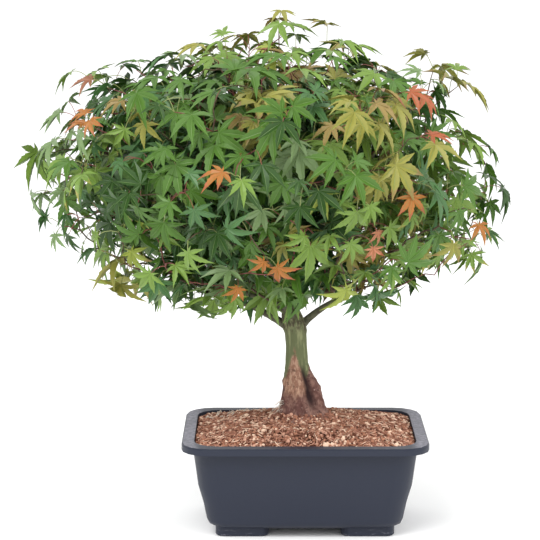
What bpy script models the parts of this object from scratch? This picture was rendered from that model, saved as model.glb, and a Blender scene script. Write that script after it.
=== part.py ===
"""Japanese maple bonsai in a rectangular plastic training pot.

Metres, +Z up. The origin is on the table under the middle of the crown's outline,
+X is to the right of the front view and +Y runs away from it.
"""

import math
import random

import bmesh
import bpy
from mathutils import Vector
from mathutils.bvhtree import BVHTree

# Gaps: between pieces that touch, round the trunk where a bough leaves it, and
# between limbs and leaves
CLEARANCE = 0.0003
CUT_MARGIN = 0.00036
LEAF_MARGIN = 0.0006

# Pot: rim size, then wall, lip and feet
POT_X = 0.045
POT_WIDTH = 0.250
POT_DEPTH = 0.183
POT_HEIGHT = 0.100
POT_WALL = 0.0020
RIM_CORNER = 0.028
CORNER_SHRINK = 0.35
CORNER_STEPS = 4
LIP_WIDTH = 0.0125
LIP_DROP = 0.007
LIP_SKIN = 0.002
LIP_ROUND = 0.0015
UNDERSIDE = 0.009
UNDERSIDE_ROUND = 0.002
FLOOR_TOP = 0.014
FLOOR_CORNER = 0.004
FOOT_INSET = 0.0338
FOOT_GAP = 0.073
FOOT_CORNER = 0.008

# Outer wall under the lip: distance in from the rim's edge, and height
WALL_OUTLINE = (
    (0.0108, 0.0960),
    (0.0163, 0.0537),
    (0.0215, 0.0343),
    (0.0248, 0.0171),
    (0.0266, 0.0130),
    (0.0316, 0.0100),
)

# Soil: gap to the pot's wall, and the level top that the trunk stands on
SOIL_GAP = 0.0004
SOIL_TOP = 0.1085
SOIL_TOP_RADII = (0.056, 0.044)
SOIL_RINGS = 4

# Trunk: height, sideways place and half thickness, from the soil to the leader's tip
TRUNK_STATIONS = (
    (0.1088, 0.0475, 0.0250),
    (0.1245, 0.0434, 0.0215),
    (0.1450, 0.0415, 0.0189),
    (0.1570, 0.0392, 0.0148),
    (0.1690, 0.0371, 0.0116),
    (0.1870, 0.0366, 0.0108),
    (0.2030, 0.0355, 0.0116),
    (0.2120, 0.0335, 0.0122),
    (0.2240, 0.0306, 0.0092),
    (0.2700, 0.0270, 0.0072),
    (0.3250, 0.0215, 0.0055),
)
TRUNK_SIDES = 20
TRUNK_FLATNESS = 0.86

# Root ridges: direction in degrees, reach beyond the trunk, and half spread in degrees
ROOT_RIDGES = (
    (184, 0.0200, 24),
    (-14, 0.0125, 26),
    (238, 0.0080, 22),
    (300, 0.0095, 24),
    (60, 0.0085, 28),
    (122, 0.0080, 28),
)
ROOT_HEIGHT = 0.0065
ROOT_STEPS = (0.0, 0.35, 0.8, 1.5)

# Crown: outline of the leaf tips, as half an ellipse above a blunter half below
CROWN_WIDTH = 0.500
CROWN_DEPTH = 0.450
CROWN_MIDDLE = 0.360
CROWN_TOP = 0.532
CROWN_FOOT = 0.228
CROWN_LEAN = 0.035
UPPER_POWER = 2.0
LOWER_POWER = 2.7

# How far the longest sprigs reach towards that outline, every 15 degrees from the right
# side up over the top, down the left side and back underneath
OUTLINE_SHARES = (
    *(1.00, 0.98, 1.04, 0.92, 0.94, 1.02, 0.98, 0.88, 0.90, 0.92, 1.03, 0.94),
    *(1.00, 0.89, 0.89, 0.94, 0.98, 1.06, 1.02, 1.00, 1.03, 1.03, 1.09, 1.06),
)

# Limbs: the name that a bough shares with the mass it carries, its direction in degrees
# and height on the trunk, how far out the mass's middle is as a share of the crown's half
# width, that middle's height, and the bough's half thickness at the trunk
LIMBS = (
    ("low_right", 6, 0.202, 0.66, 0.290, 0.0042),
    ("low_back_right", 60, 0.222, 0.64, 0.286, 0.0036),
    ("low_back_left", 116, 0.214, 0.64, 0.286, 0.0036),
    ("low_left", 170, 0.200, 0.66, 0.288, 0.0042),
    ("low_front_left", 216, 0.220, 0.64, 0.286, 0.0036),
    ("low_front", 266, 0.214, 0.60, 0.282, 0.0036),
    ("low_front_right", 316, 0.226, 0.64, 0.286, 0.0036),
    ("middle_right", 14, 0.262, 0.62, 0.394, 0.0034),
    ("middle_back_right", 74, 0.276, 0.58, 0.394, 0.0032),
    ("middle_back_left", 132, 0.268, 0.60, 0.392, 0.0032),
    ("middle_left", 190, 0.254, 0.62, 0.388, 0.0034),
    ("middle_front_left", 244, 0.270, 0.58, 0.392, 0.0034),
    ("middle_front_right", 302, 0.286, 0.60, 0.396, 0.0034),
    ("top_left", 170, 0.302, 0.30, 0.468, 0.0030),
    ("top_right", 24, 0.310, 0.32, 0.478, 0.0030),
    ("top_front", 276, 0.316, 0.24, 0.472, 0.0030),
)

# Boughs: length as a share of the way to the mass's middle, just into the mass's space
SHORTEST_BOUGH = 0.42
LONGEST_BOUGH = 0.90
BOUGH_STRETCH = 0.03
TIP_MARGIN = 0.006
BOUGH_SIDES = 6
BOUGH_STEPS = 5
BOUGH_TIP_SHARE = 0.52
BOUGH_RISE = 0.35
BOUGH_LEVELLING = 0.25

# Growth of a mass of foliage
SEED = 6
SHOOTS_PER_MASS = 8
TIP_RADIUS = 0.0013
TWIG_THICKENING = 0.45
TWIG_SIDES = 3
STEM_LENGTH = 0.010
SHOOT_ARCH = 0.08
RUN_WEIGHT = 0.35
SHELL = (0.58, 0.90)
SPACE_MARGIN = 0.0004
END_MARGIN = 0.010
END_TRIES = 500
LEAF_TRIES = 60
LEAF_SPACING = 0.018
OUTER_WEIGHT = 2

# Leaf: five pointed lobes as turns from the midrib in degrees and shares of its length
LEAF_LENGTH = 0.049
LOBES = ((-98, 0.66), (-48, 0.94), (0, 1.0), (48, 0.94), (98, 0.66))
NOTCH = 0.48
LEAF_THICKNESS = 0.0011
LEAF_VARIATION = (0.84, 1.12)
RIDGE_AHEAD = 0.2
RIDGE_RISE = 0.4
BLADE_MIDDLE = 0.45
BLADE_FACES = 4 * len(LOBES) + 1
LOBE_DROOP = 0.16
STALK_LENGTH = 0.017
STALK_VARIATION = (0.7, 1.2)
STALK_RADIUS = 0.0007
STALK_FOOT = 0.0004

# Where leaves stand on a shoot, and how far out their tips may go in the crown
LEAF_REACH = 1.03
TIP_LEAVES = (0, -70, 70)
TIP_SINK = 0.001
PAIR_SPACING = 0.014
PAIR_LIMIT = 0.9
PAIR_LEAN = 0.5
BARE_WITHIN = 0.66

# How a leaf turns: shares of out, up and chance, the steepest bend at the stalk's end,
# the most that the blade hangs, and the least that it must still point along its stalk
LOOSENESS = (0.2, 0.8)
FACE_OUT = 0.8
FACE_UP = 0.4
STALK_OUT = 0.3
HINGE = 0.6
HANG = 0.6
LEAST_AHEAD = 0.5

# Edges sharper than these, in degrees, are shaded crisp
POT_CREASE = 32
SOIL_CREASE = 40
BARK_CREASE = 60

COLOURS = {
    "pot": (0.055, 0.062, 0.085),
    "soil": (0.230, 0.120, 0.070),
    "bark": (0.150, 0.105, 0.070),
    "leaf": (0.075, 0.150, 0.030),
}


def clear_scene():
    """Remove every object that the file starts with."""
    for item in list(bpy.data.objects):
        bpy.data.objects.remove(item, do_unlink=True)


def make_material(name, roughness):
    """A plain surface in one of the named colours."""
    material = bpy.data.materials.new(name)
    material.use_nodes = True
    surface = material.node_tree.nodes["Principled BSDF"]
    surface.inputs["Base Color"].default_value = (*COLOURS[name], 1.0)
    surface.inputs["Roughness"].default_value = roughness
    surface.inputs["Metallic"].default_value = 0.0
    return material


def make_object(name, points, faces, material=None):
    """A mesh object from points and faces, with its faces turned outwards."""
    mesh = bpy.data.meshes.new(name)
    mesh.from_pydata([tuple(p) for p in points], [], faces)
    shape = bmesh.new()
    shape.from_mesh(mesh)
    bmesh.ops.recalc_face_normals(shape, faces=shape.faces)
    shape.to_mesh(mesh)
    shape.free()
    item = bpy.data.objects.new(name, mesh)
    bpy.context.scene.collection.objects.link(item)
    if material:
        mesh.materials.append(material)
    return item


def shade_round(item, angle):
    """Shade an object smooth, with edges sharper than the angle left crisp."""
    item.data.shade_smooth()
    item.data.set_sharp_from_angle(angle=math.radians(angle))


def apply_boolean(item, operation, other=None, collection=None, solver="EXACT"):
    """Cut or join one object with another or with a collection, and keep the result."""
    modifier = item.modifiers.new("Boolean", "BOOLEAN")
    modifier.operation = operation
    modifier.solver = solver
    if collection:
        modifier.operand_type = "COLLECTION"
        modifier.collection = collection
    else:
        modifier.object = other
    bpy.context.view_layer.update()
    graph = bpy.context.evaluated_depsgraph_get()
    result = bpy.data.meshes.new_from_object(item.evaluated_get(graph))
    item.modifiers.clear()
    item.data = result


def bridge_rings(rings):
    """Points and faces of a closed skin through rings of equal count, capped at both ends."""
    count = len(rings[0])
    points = [p for ring in rings for p in ring]
    faces = [tuple(reversed(range(count)))]
    for row in range(len(rings) - 1):
        low = row * count
        high = low + count
        for i in range(count):
            j = (i + 1) % count
            faces.append((low + i, low + j, high + j, high + i))
    last = (len(rings) - 1) * count
    faces.append(tuple(range(last, last + count)))
    return points, faces


def rounded_ring(half_x, half_y, corner, z):
    """A rounded rectangle about the pot's middle, as one ring of points."""
    ring = []
    for quarter in range(4):
        side_x = 1 if quarter in (0, 3) else -1
        side_y = 1 if quarter in (0, 1) else -1
        for step in range(CORNER_STEPS + 1):
            turn = math.radians(90 * (quarter + step / CORNER_STEPS))
            x = side_x * (half_x - corner) + corner * math.cos(turn)
            y = side_y * (half_y - corner) + corner * math.sin(turn)
            ring.append(Vector((POT_X + x, y, z)))
    return ring


def pot_ring(inset, z):
    """The pot's outline at a distance in from the rim's edge."""
    corner = RIM_CORNER - CORNER_SHRINK * inset
    return rounded_ring(POT_WIDTH / 2 - inset, POT_DEPTH / 2 - inset, corner, z)


def inner_outline():
    """The pot's inner wall from the rim down: distance in from the rim's edge, and height."""
    wall = [(inset + POT_WALL, z) for inset, z in WALL_OUTLINE[:4]]
    return [(LIP_WIDTH, POT_HEIGHT), *wall, (wall[-1][0] + FLOOR_CORNER, FLOOR_TOP)]


def make_pot(material):
    """A tapering tub with a turned-down lip, on two foot rails."""
    lip_foot = POT_HEIGHT - LIP_DROP
    lip_roof = POT_HEIGHT - LIP_SKIN
    outline = [(WALL_OUTLINE[-1][0] + UNDERSIDE_ROUND, UNDERSIDE)]
    outline += reversed(WALL_OUTLINE)
    outline += [(WALL_OUTLINE[0][0], lip_roof), (LIP_SKIN, lip_roof), (LIP_SKIN, lip_foot)]
    outline += [(0.0, lip_foot), (0.0, POT_HEIGHT - LIP_ROUND), (LIP_ROUND, POT_HEIGHT)]
    outline += inner_outline()
    pot = make_object("pot", *bridge_rings([pot_ring(*spot) for spot in outline]), material)

    rail_width = POT_WIDTH / 2 - FOOT_INSET - FOOT_GAP / 2
    rail_depth = POT_DEPTH / 2 - FOOT_INSET
    for side in (-1, 1):
        shift = Vector((side * (FOOT_GAP + rail_width) / 2, 0, 0))
        rings = []
        for height, spread in ((0.0, -LIP_ROUND), (LIP_ROUND, 0.0), (FLOOR_TOP - POT_WALL, 0.0)):
            ring = rounded_ring(rail_width / 2 + spread, rail_depth + spread, FOOT_CORNER, height)
            rings.append([p + shift for p in ring])
        rail = make_object("foot_rail", *bridge_rings(rings))
        apply_boolean(pot, "UNION", other=rail)
        bpy.data.objects.remove(rail, do_unlink=True)
    shade_round(pot, POT_CREASE)


def smooth_step(share):
    """Ease from 0 to 1."""
    return share * share * (3 - 2 * share)


def make_soil(material):
    """Soil that fills the pot and mounds up to a level top under the trunk."""
    wall = [(inset + SOIL_GAP, z) for inset, z in inner_outline()[1:]]
    floor_inset, floor_height = wall.pop()
    rings = [pot_ring(floor_inset, floor_height + CLEARANCE)]
    rings += [pot_ring(*spot) for spot in reversed(wall)]
    edge = rings[-1]
    middle = Vector((TRUNK_STATIONS[0][1], 0, 0))
    for row in range(1, SOIL_RINGS + 1):
        share = row / SOIL_RINGS
        ring = []
        for p in edge:
            outer = Vector((p.x, p.y, 0))
            away = outer - middle
            inner = middle + away / math.hypot(away.x / SOIL_TOP_RADII[0], away.y / SOIL_TOP_RADII[1])
            spot = outer.lerp(inner, share)
            spot.z = edge[0].z + (SOIL_TOP - edge[0].z) * smooth_step(share)
            ring.append(spot)
        rings.append(ring)
    soil = make_object("soil", *bridge_rings(rings), material)
    shade_round(soil, SOIL_CREASE)


def trunk_station(z):
    """The trunk's sideways place and half thickness at a height."""
    stations = TRUNK_STATIONS
    for low, high in zip(stations, stations[1:]):
        if z <= high[0] or high == stations[-1]:
            break
    share = min(max((z - low[0]) / (high[0] - low[0]), 0.0), 1.0)
    return low[1] + share * (high[1] - low[1]), low[2] + share * (high[2] - low[2])


def turn_apart(a, b):
    """The angle between two directions in degrees, 0 to 180."""
    return abs((a - b + 180) % 360 - 180)


def trunk_ring(z, grow):
    """The trunk's outline at a height, with its root ridges, grown by a margin."""
    x, half = trunk_station(z)
    rise = z - TRUNK_STATIONS[0][0]
    ring = []
    for step in range(TRUNK_SIDES):
        degrees = 360 * step / TRUNK_SIDES
        reach = half + grow
        for heading, length, spread in ROOT_RIDGES:
            nearness = max(0.0, 1 - turn_apart(degrees, heading) / (2 * spread))
            reach += length * smooth_step(nearness) * math.exp(-rise / ROOT_HEIGHT)
        turn = math.radians(degrees)
        ring.append(Vector((x + reach * math.cos(turn), reach * TRUNK_FLATNESS * math.sin(turn), z)))
    return ring


def trunk_rings(grow=0.0):
    """Rings up the trunk, closer together over the root ridges."""
    foot = TRUNK_STATIONS[0][0]
    heights = [foot + ROOT_HEIGHT * share for share in ROOT_STEPS]
    heights += [station[0] for station in TRUNK_STATIONS[1:]]
    return [trunk_ring(z, grow) for z in heights]


def make_trunk(material):
    """The trunk from its flat cut on the soil to the tip of its leader."""
    trunk = make_object("trunk", *bridge_rings(trunk_rings()), material)
    shade_round(trunk, BARK_CREASE)


def tube_rings(path, radii, sides):
    """Rings of equal count round a path, kept from twisting."""
    rings = []
    across = None
    for i, p in enumerate(path):
        ahead = path[min(i + 1, len(path) - 1)] - path[max(i - 1, 0)]
        ahead.normalize()
        if across is None:
            across = ahead.orthogonal().normalized()
        across = (across - ahead * across.dot(ahead)).normalized()
        up = ahead.cross(across)
        ring = []
        for side in range(sides):
            turn = 2 * math.pi * side / sides
            ring.append(p + radii[i] * (across * math.cos(turn) + up * math.sin(turn)))
        rings.append(ring)
    return rings


def ease_curve(start, leave, end, arrive, steps):
    """Points along a cubic curve between two points, given its slope at each."""
    points = []
    for i in range(steps + 1):
        t = i / steps
        points.append(
            start * (1 + 2 * t) * (1 - t) ** 2
            + leave * t * (1 - t) ** 2
            + end * t * t * (3 - 2 * t)
            + arrive * t * t * (t - 1)
        )
    return points


class Limb:
    """A bough, and the place and space of the mass that it carries."""

    def __init__(self, name, heading, height, distance, level, thickness):
        self.name = name
        turn = math.radians(heading)
        x = distance * math.cos(turn) * CROWN_WIDTH / 2
        y = distance * math.sin(turn) * CROWN_DEPTH / 2
        self.centre = Vector((x, y, level))
        self.base = Vector((trunk_station(height)[0], 0, height))
        self.thickness = thickness

    def grow_bough(self, limbs):
        """Run the bough out from the trunk until it enters the space of its mass."""
        share = SHORTEST_BOUGH
        self.tip = self.base.lerp(self.centre, share)
        while share < LONGEST_BOUGH and not in_space(self.tip, self, limbs, TIP_MARGIN):
            share += BOUGH_STRETCH
            self.tip = self.base.lerp(self.centre, share)
        span = (self.tip - self.base).length
        away = (self.centre - self.base).normalized()
        self.heading = (away - Vector((0, 0, BOUGH_LEVELLING))).normalized()
        leave = (away + Vector((0, 0, BOUGH_RISE))).normalized()
        self.path = ease_curve(
            self.base, leave * span, self.tip, self.heading * span, BOUGH_STEPS
        )
        taper = self.thickness * (1 - BOUGH_TIP_SHARE)
        self.radii = [self.thickness - taper * i / BOUGH_STEPS for i in range(BOUGH_STEPS + 1)]


def make_bough(limb, material):
    """One tapering limb, cut clear of the trunk that it leaves."""
    rings = tube_rings(limb.path, limb.radii, BOUGH_SIDES)
    bough = make_object("bough_" + limb.name, *bridge_rings(rings), material)
    cutter = make_object("trunk_cutter", *bridge_rings(trunk_rings(CUT_MARGIN)))
    apply_boolean(bough, "DIFFERENCE", other=cutter)
    bpy.data.objects.remove(cutter, do_unlink=True)
    shade_round(bough, BARK_CREASE)


def outline_share(along, rise):
    """The outline's share in a direction, seen from the front or, turned, from a side."""
    count = len(OUTLINE_SHARES)
    place = math.atan2(rise, along) / (2 * math.pi) % 1 * count
    low = int(place) % count
    first, second = OUTLINE_SHARES[low], OUTLINE_SHARES[(low + 1) % count]
    return first + (place - int(place)) * (second - first)


def crown_reach(p):
    """How far out a point lies: 1 on the crown's outline, less inside it."""
    rise = p.z - CROWN_MIDDLE - CROWN_LEAN * p.x
    height = CROWN_TOP - CROWN_MIDDLE if rise > 0 else CROWN_MIDDLE - CROWN_FOOT
    power = UPPER_POWER if rise > 0 else LOWER_POWER
    flat = math.hypot(2 * p.x / CROWN_WIDTH, 2 * p.y / CROWN_DEPTH)
    sideways = (2 * p.x / CROWN_WIDTH / flat) ** 2
    front = outline_share(p.x, p.z - CROWN_MIDDLE)
    side = outline_share(p.y, p.z - CROWN_MIDDLE)
    share = sideways * front + (1 - sideways) * side
    return (flat**power + (abs(rise) / height) ** power) ** (1 / power) / share


def crown_outward(p):
    """The direction out of the crown at a point."""
    out = Vector((p.x / CROWN_WIDTH**2, p.y / CROWN_DEPTH**2, 0))
    out.z = (p.z - CROWN_MIDDLE) / (2 * (CROWN_TOP - CROWN_MIDDLE)) ** 2
    return out.normalized()


def in_space(p, limb, limbs, margin):
    """Whether a point is nearer to its own mass's middle than to any other, by a margin."""
    for other in limbs:
        if other is not limb:
            apart = other.centre - limb.centre
            half_way = (limb.centre + other.centre) / 2
            if (half_way - p).dot(apart.normalized()) < margin:
                return False
    return True


def seeded_point(rng):
    """A point in the box round the crown."""
    return Vector(
        (
            rng.uniform(-0.5, 0.5) * CROWN_WIDTH,
            rng.uniform(-0.5, 0.5) * CROWN_DEPTH,
            rng.uniform(CROWN_FOOT, CROWN_TOP),
        )
    )


def choose_ends(limb, limbs, rng, taken):
    """Ends of a mass's shoots, each as far as it can be from those already taken."""
    ends = []
    for _ in range(SHOOTS_PER_MASS):
        best = None
        for _ in range(END_TRIES):
            p = seeded_point(rng)
            if not SHELL[0] < crown_reach(p) < SHELL[1]:
                continue
            if not in_space(p, limb, limbs, END_MARGIN):
                continue
            room = min([(p - q).length for q in taken + ends], default=1.0)
            room *= crown_reach(p) ** OUTER_WEIGHT
            if best is None or room > best[0]:
                best = (room, p)
        if best:
            ends.append(best[1])
    taken.extend(ends)
    return sorted(ends, key=lambda p: (p - limb.tip).length)


def grow_shoots(limb, ends):
    """Shoots as points, parents and loads, each joined where the growing tree is nearest."""
    start = limb.tip + limb.heading * CLEARANCE
    points = [start, start + limb.heading * STEM_LENGTH]
    parents = [None, 0]
    run = [0.0, STEM_LENGTH]
    for end in ends:
        detours = [(end - p).length + RUN_WEIGHT * far for p, far in zip(points, run)]
        joint = detours.index(min(detours[1:]), 1)
        reach = (end - points[joint]).length
        middle = points[joint].lerp(end, 0.5) + Vector((0, 0, SHOOT_ARCH * reach))
        for p in (middle, end):
            parents.append(joint)
            run.append(run[joint] + (p - points[joint]).length)
            points.append(p)
            joint = len(points) - 1
    loads = [0] * len(points)
    for i in reversed(range(len(points))):
        loads[i] = max(loads[i], 1)
        if parents[i] is not None:
            loads[parents[i]] += loads[i]
    return points, parents, loads


def shoot_chains(points, parents):
    """Runs of points, each from where a shoot leaves its parent to its own end."""
    chains = []
    used = set()
    for end in reversed(range(1, len(points))):
        if end in used:
            continue
        chain = [end]
        while parents[chain[-1]] is not None and chain[-1] not in used:
            used.add(chain[-1])
            chain.append(parents[chain[-1]])
        chains.append(chain[::-1])
    return chains


def twig_radius(load):
    """A twig's half thickness from how many shoot ends it feeds."""
    return TIP_RADIUS * load**TWIG_THICKENING


def make_twigs(points, chains, loads):
    """Points and faces of each shoot's three-sided twig."""
    twigs = []
    for chain in chains:
        path = [points[i] for i in chain]
        feed = [loads[i] for i in chain]
        feed[0] = feed[1]
        rings = tube_rings(path, [twig_radius(load) for load in feed], TWIG_SIDES)
        twigs.append(bridge_rings(rings))
    return twigs


def leaf_solid(root, joint, ahead, up, length):
    """A five-lobed leaf and its stalk as one closed skin, thickest at the leaf's middle."""
    side = up.cross(ahead)

    def spot(degrees, reach):
        turn = math.radians(degrees)
        flat = ahead * math.cos(turn) + side * math.sin(turn)
        return joint + flat * reach * length - up * LOBE_DROOP * length * reach**2

    outline = [joint - side * STALK_RADIUS]
    for i, (degrees, reach) in enumerate(LOBES):
        if i:
            outline.append(spot((degrees + LOBES[i - 1][0]) / 2, NOTCH))
        outline.append(spot(degrees, reach))
    outline.append(joint + side * STALK_RADIUS)
    ridge = joint + ahead * RIDGE_AHEAD * length + up * LEAF_THICKNESS * RIDGE_RISE
    keel = joint - up * LEAF_THICKNESS

    stalk = (joint - root).normalized()
    across = (side - stalk * side.dot(stalk)).normalized()
    below = across.cross(stalk)
    foot = [
        root - across * STALK_FOOT,
        root + across * STALK_FOOT,
        root + below * STALK_FOOT,
    ]
    points = outline + [ridge, keel] + foot
    last = len(outline) - 1
    ridge_at = len(outline)
    keel_at = ridge_at + 1
    left, right, low = keel_at + 1, keel_at + 2, keel_at + 3
    faces = [(ridge_at, i, i + 1) for i in range(last)]
    faces.append((ridge_at, last, 0))
    faces += [(keel_at, i + 1, i) for i in range(last)]
    faces += [(0, last, right), (0, right, left)]
    faces += [(last, keel_at, low), (last, low, right)]
    faces += [(keel_at, 0, left), (keel_at, left, low)]
    faces.append((left, right, low))
    return points, faces


def skin_tree(points, faces):
    """A search tree over a skin, for finding where it would touch another."""
    return BVHTree.FromPolygons([tuple(p) for p in points], faces)


def touches(tree, others):
    """Whether a skin meets any of the others."""
    return any(tree.overlap(other) for other in others)


class Leaf:
    """A leaf that could stand at a site on a twig."""

    def __init__(self, site, root, aim, rng):
        loose = rng.uniform(*LOOSENESS)
        jitter = Vector([rng.uniform(-loose, loose) for _ in range(3)])
        outward = crown_outward(root)
        up = (outward * FACE_OUT + Vector((0, 0, FACE_UP)) + jitter).normalized()
        stalk = (aim + outward * STALK_OUT + jitter).normalized()
        stalk = (stalk - up * max(0.0, stalk.dot(up) - HINGE)).normalized()
        joint = root + stalk * STALK_LENGTH * rng.uniform(*STALK_VARIATION)
        ahead = stalk - Vector((0, 0, rng.uniform(0.0, HANG)))
        ahead = (ahead - up * ahead.dot(up)).normalized()
        length = LEAF_LENGTH * rng.uniform(*LEAF_VARIATION)
        self.site = site
        self.sound = ahead.dot(stalk) > LEAST_AHEAD
        self.middle = joint + ahead * length * BLADE_MIDDLE
        self.points, self.faces = leaf_solid(root, joint, ahead, up, length)
        self.extent = max(crown_reach(p) for p in self.points)
        self.room = 1.0

    def give_room(self, middle):
        """Note how near the leaf's middle is to that of one already placed."""
        self.room = min(self.room, (self.middle - middle).length)


class Foliage:
    """One mass: its twigs, and the leaves that fit among them."""

    def __init__(self, limb, limbs, obstacles, ends, rng, placed):
        self.limb = limb
        self.limbs = limbs
        self.obstacles = obstacles
        points, parents, loads = grow_shoots(limb, ends)
        chains = shoot_chains(points, parents)
        self.twigs = make_twigs(points, chains, loads)
        self.twig_trees = [skin_tree(*twig) for twig in self.twigs]
        self.sites = []
        tips = set(range(3, len(points), 2))
        for node in range(2, len(points)):
            self.mark_sites(points[parents[node]], points[node], node in tips)
        self.blades = []
        self.stalks = []
        self.leaves = []
        self.place_leaves(rng, placed)

    def mark_sites(self, start, end, is_tip):
        """Sites along one stretch of a shoot, in pairs that turn from one to the next."""
        span = (end - start).length
        heading = (end - start).normalized()
        across = heading.cross(crown_outward(end)).normalized()
        raised = heading.cross(across)
        if is_tip:
            for turn in TIP_LEAVES:
                lean = math.radians(turn)
                aim = heading * math.cos(lean) + across * math.sin(lean)
                self.sites.append((end - heading * TIP_SINK, aim))
        for pair in range(1, int(span / PAIR_SPACING) + 1):
            spot = end - heading * min(pair * PAIR_SPACING, span * PAIR_LIMIT)
            lean = across if pair % 2 else raised
            for side in (-1, 1):
                self.sites.append((spot, (heading * PAIR_LEAN + lean * side).normalized()))

    def place_leaves(self, rng, placed):
        """Fill the sites, each time with the leaf that has most room round it."""
        choice = []
        for site, (root, aim) in enumerate(self.sites):
            for _ in range(LEAF_TRIES):
                leaf = Leaf(site, root, aim, rng)
                if leaf.sound and self.in_bounds(leaf):
                    choice.append(leaf)
        for leaf in choice:
            for middle in placed:
                leaf.give_room(middle)
        while choice:
            best = max(choice, key=lambda leaf: leaf.room * leaf.extent**OUTER_WEIGHT)
            choice.remove(best)
            if best.room < LEAF_SPACING or not self.is_free(best):
                continue
            self.leaves.append((best.points, best.faces))
            placed.append(best.middle)
            choice = [leaf for leaf in choice if leaf.site != best.site]
            for leaf in choice:
                leaf.give_room(best.middle)

    def in_bounds(self, leaf):
        """Whether a leaf is within the crown, out near its surface and in the mass's space."""
        if leaf.extent > LEAF_REACH or crown_reach(leaf.middle) < BARE_WITHIN:
            return False
        if any(abs(p.x) > CROWN_WIDTH / 2 or abs(p.y) > CROWN_DEPTH / 2 for p in leaf.points):
            return False
        return all(in_space(p, self.limb, self.limbs, SPACE_MARGIN) for p in leaf.points)

    def is_free(self, leaf):
        """Whether a leaf is clear of limbs, twigs and leaves, and if so note its place."""
        blade = skin_tree(leaf.points, leaf.faces[:BLADE_FACES])
        stalk = skin_tree(leaf.points, leaf.faces[BLADE_FACES:])
        if touches(blade, self.obstacles + self.twig_trees + self.blades + self.stalks):
            return False
        if touches(stalk, self.obstacles + self.blades):
            return False
        self.blades.append(blade)
        self.stalks.append(stalk)
        return True


def keep_largest(item):
    """Drop loose scraps, so that one closed skin is left."""
    shape = bmesh.new()
    shape.from_mesh(item.data)
    groups = []
    seen = set()
    for seed in shape.verts:
        if seed in seen:
            continue
        group = {seed}
        front = [seed]
        while front:
            for edge in front.pop().link_edges:
                for vert in edge.verts:
                    if vert not in group:
                        group.add(vert)
                        front.append(vert)
        seen |= group
        groups.append(group)
    groups.sort(key=len, reverse=True)
    scraps = [vert for group in groups[1:] for vert in group]
    bmesh.ops.delete(shape, geom=scraps, context="VERTS")
    shape.to_mesh(item.data)
    shape.free()


def fuse(name, skins, material):
    """Join closed skins into one object by a single union."""
    group = bpy.data.collections.new(name + "_parts")
    bpy.context.scene.collection.children.link(group)
    whole = make_object(name, *skins[0], material)
    for points, faces in skins[1:]:
        part = make_object(name + "_part", points, faces)
        bpy.context.scene.collection.objects.unlink(part)
        group.objects.link(part)
    apply_boolean(whole, "UNION", collection=group)
    for part in list(group.objects):
        bpy.data.objects.remove(part, do_unlink=True)
    bpy.data.collections.remove(group)
    keep_largest(whole)
    return whole


def main():
    clear_scene()
    bark = make_material("bark", 0.8)
    leaf = make_material("leaf", 0.5)
    make_pot(make_material("pot", 0.45))
    make_soil(make_material("soil", 0.95))
    make_trunk(bark)

    rng = random.Random(SEED)
    limbs = [Limb(*sizes) for sizes in LIMBS]
    obstacles = [skin_tree(*bridge_rings(trunk_rings(LEAF_MARGIN)))]
    for limb in limbs:
        limb.grow_bough(limbs)
        make_bough(limb, bark)
        radii = [radius + LEAF_MARGIN for radius in limb.radii]
        rings = tube_rings(limb.path, radii, BOUGH_SIDES)
        obstacles.append(skin_tree(*bridge_rings(rings)))

    taken = []
    placed = []
    for limb in limbs:
        ends = choose_ends(limb, limbs, rng, taken)
        mass = Foliage(limb, limbs, obstacles, ends, rng, placed)
        fuse("foliage_" + limb.name, mass.twigs + mass.leaves, leaf)


main()
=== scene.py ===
"""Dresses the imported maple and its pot: leaves, twigs, bark, soil, plastic and a studio.

Metres, +Z up. The origin is on the table under the middle of the crown's outline,
+X is to the right of the front view and +Y runs away from it.
"""

import math

import bmesh
import bpy
import numpy as np
from bpy.props import FloatProperty, FloatVectorProperty, IntProperty, PointerProperty
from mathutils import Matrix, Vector, noise


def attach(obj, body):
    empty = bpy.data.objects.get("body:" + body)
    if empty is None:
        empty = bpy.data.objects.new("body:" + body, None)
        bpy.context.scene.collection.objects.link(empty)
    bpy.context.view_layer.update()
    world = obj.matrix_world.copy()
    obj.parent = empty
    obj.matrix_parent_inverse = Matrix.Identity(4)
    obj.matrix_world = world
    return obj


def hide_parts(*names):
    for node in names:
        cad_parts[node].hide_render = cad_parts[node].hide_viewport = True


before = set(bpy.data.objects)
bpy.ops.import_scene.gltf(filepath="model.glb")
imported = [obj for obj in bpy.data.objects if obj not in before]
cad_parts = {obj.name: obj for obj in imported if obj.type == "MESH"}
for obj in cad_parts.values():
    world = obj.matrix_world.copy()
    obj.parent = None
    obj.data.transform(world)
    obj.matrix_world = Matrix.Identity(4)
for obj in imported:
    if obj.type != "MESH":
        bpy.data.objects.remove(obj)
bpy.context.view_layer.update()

bl_info = {
    "name": "Potted Maple",
    "version": (1, 0, 0),
    "blender": (4, 5, 0),
    "location": "View3D > Sidebar > Maple",
    "description": "Dresses a small maple and its pot with leaves, bark, soil and plastic",
    "category": "Object",
}

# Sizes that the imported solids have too
POT_X = 0.045
POT_WIDTH = 0.250
POT_DEPTH = 0.183
SOIL_TOP = 0.1085
SOIL_EDGE = 0.0960
SOIL_INSET = 0.0132
SOIL_CORNER = 0.0234
SOIL_TOP_RADII = (0.056, 0.044)

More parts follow.
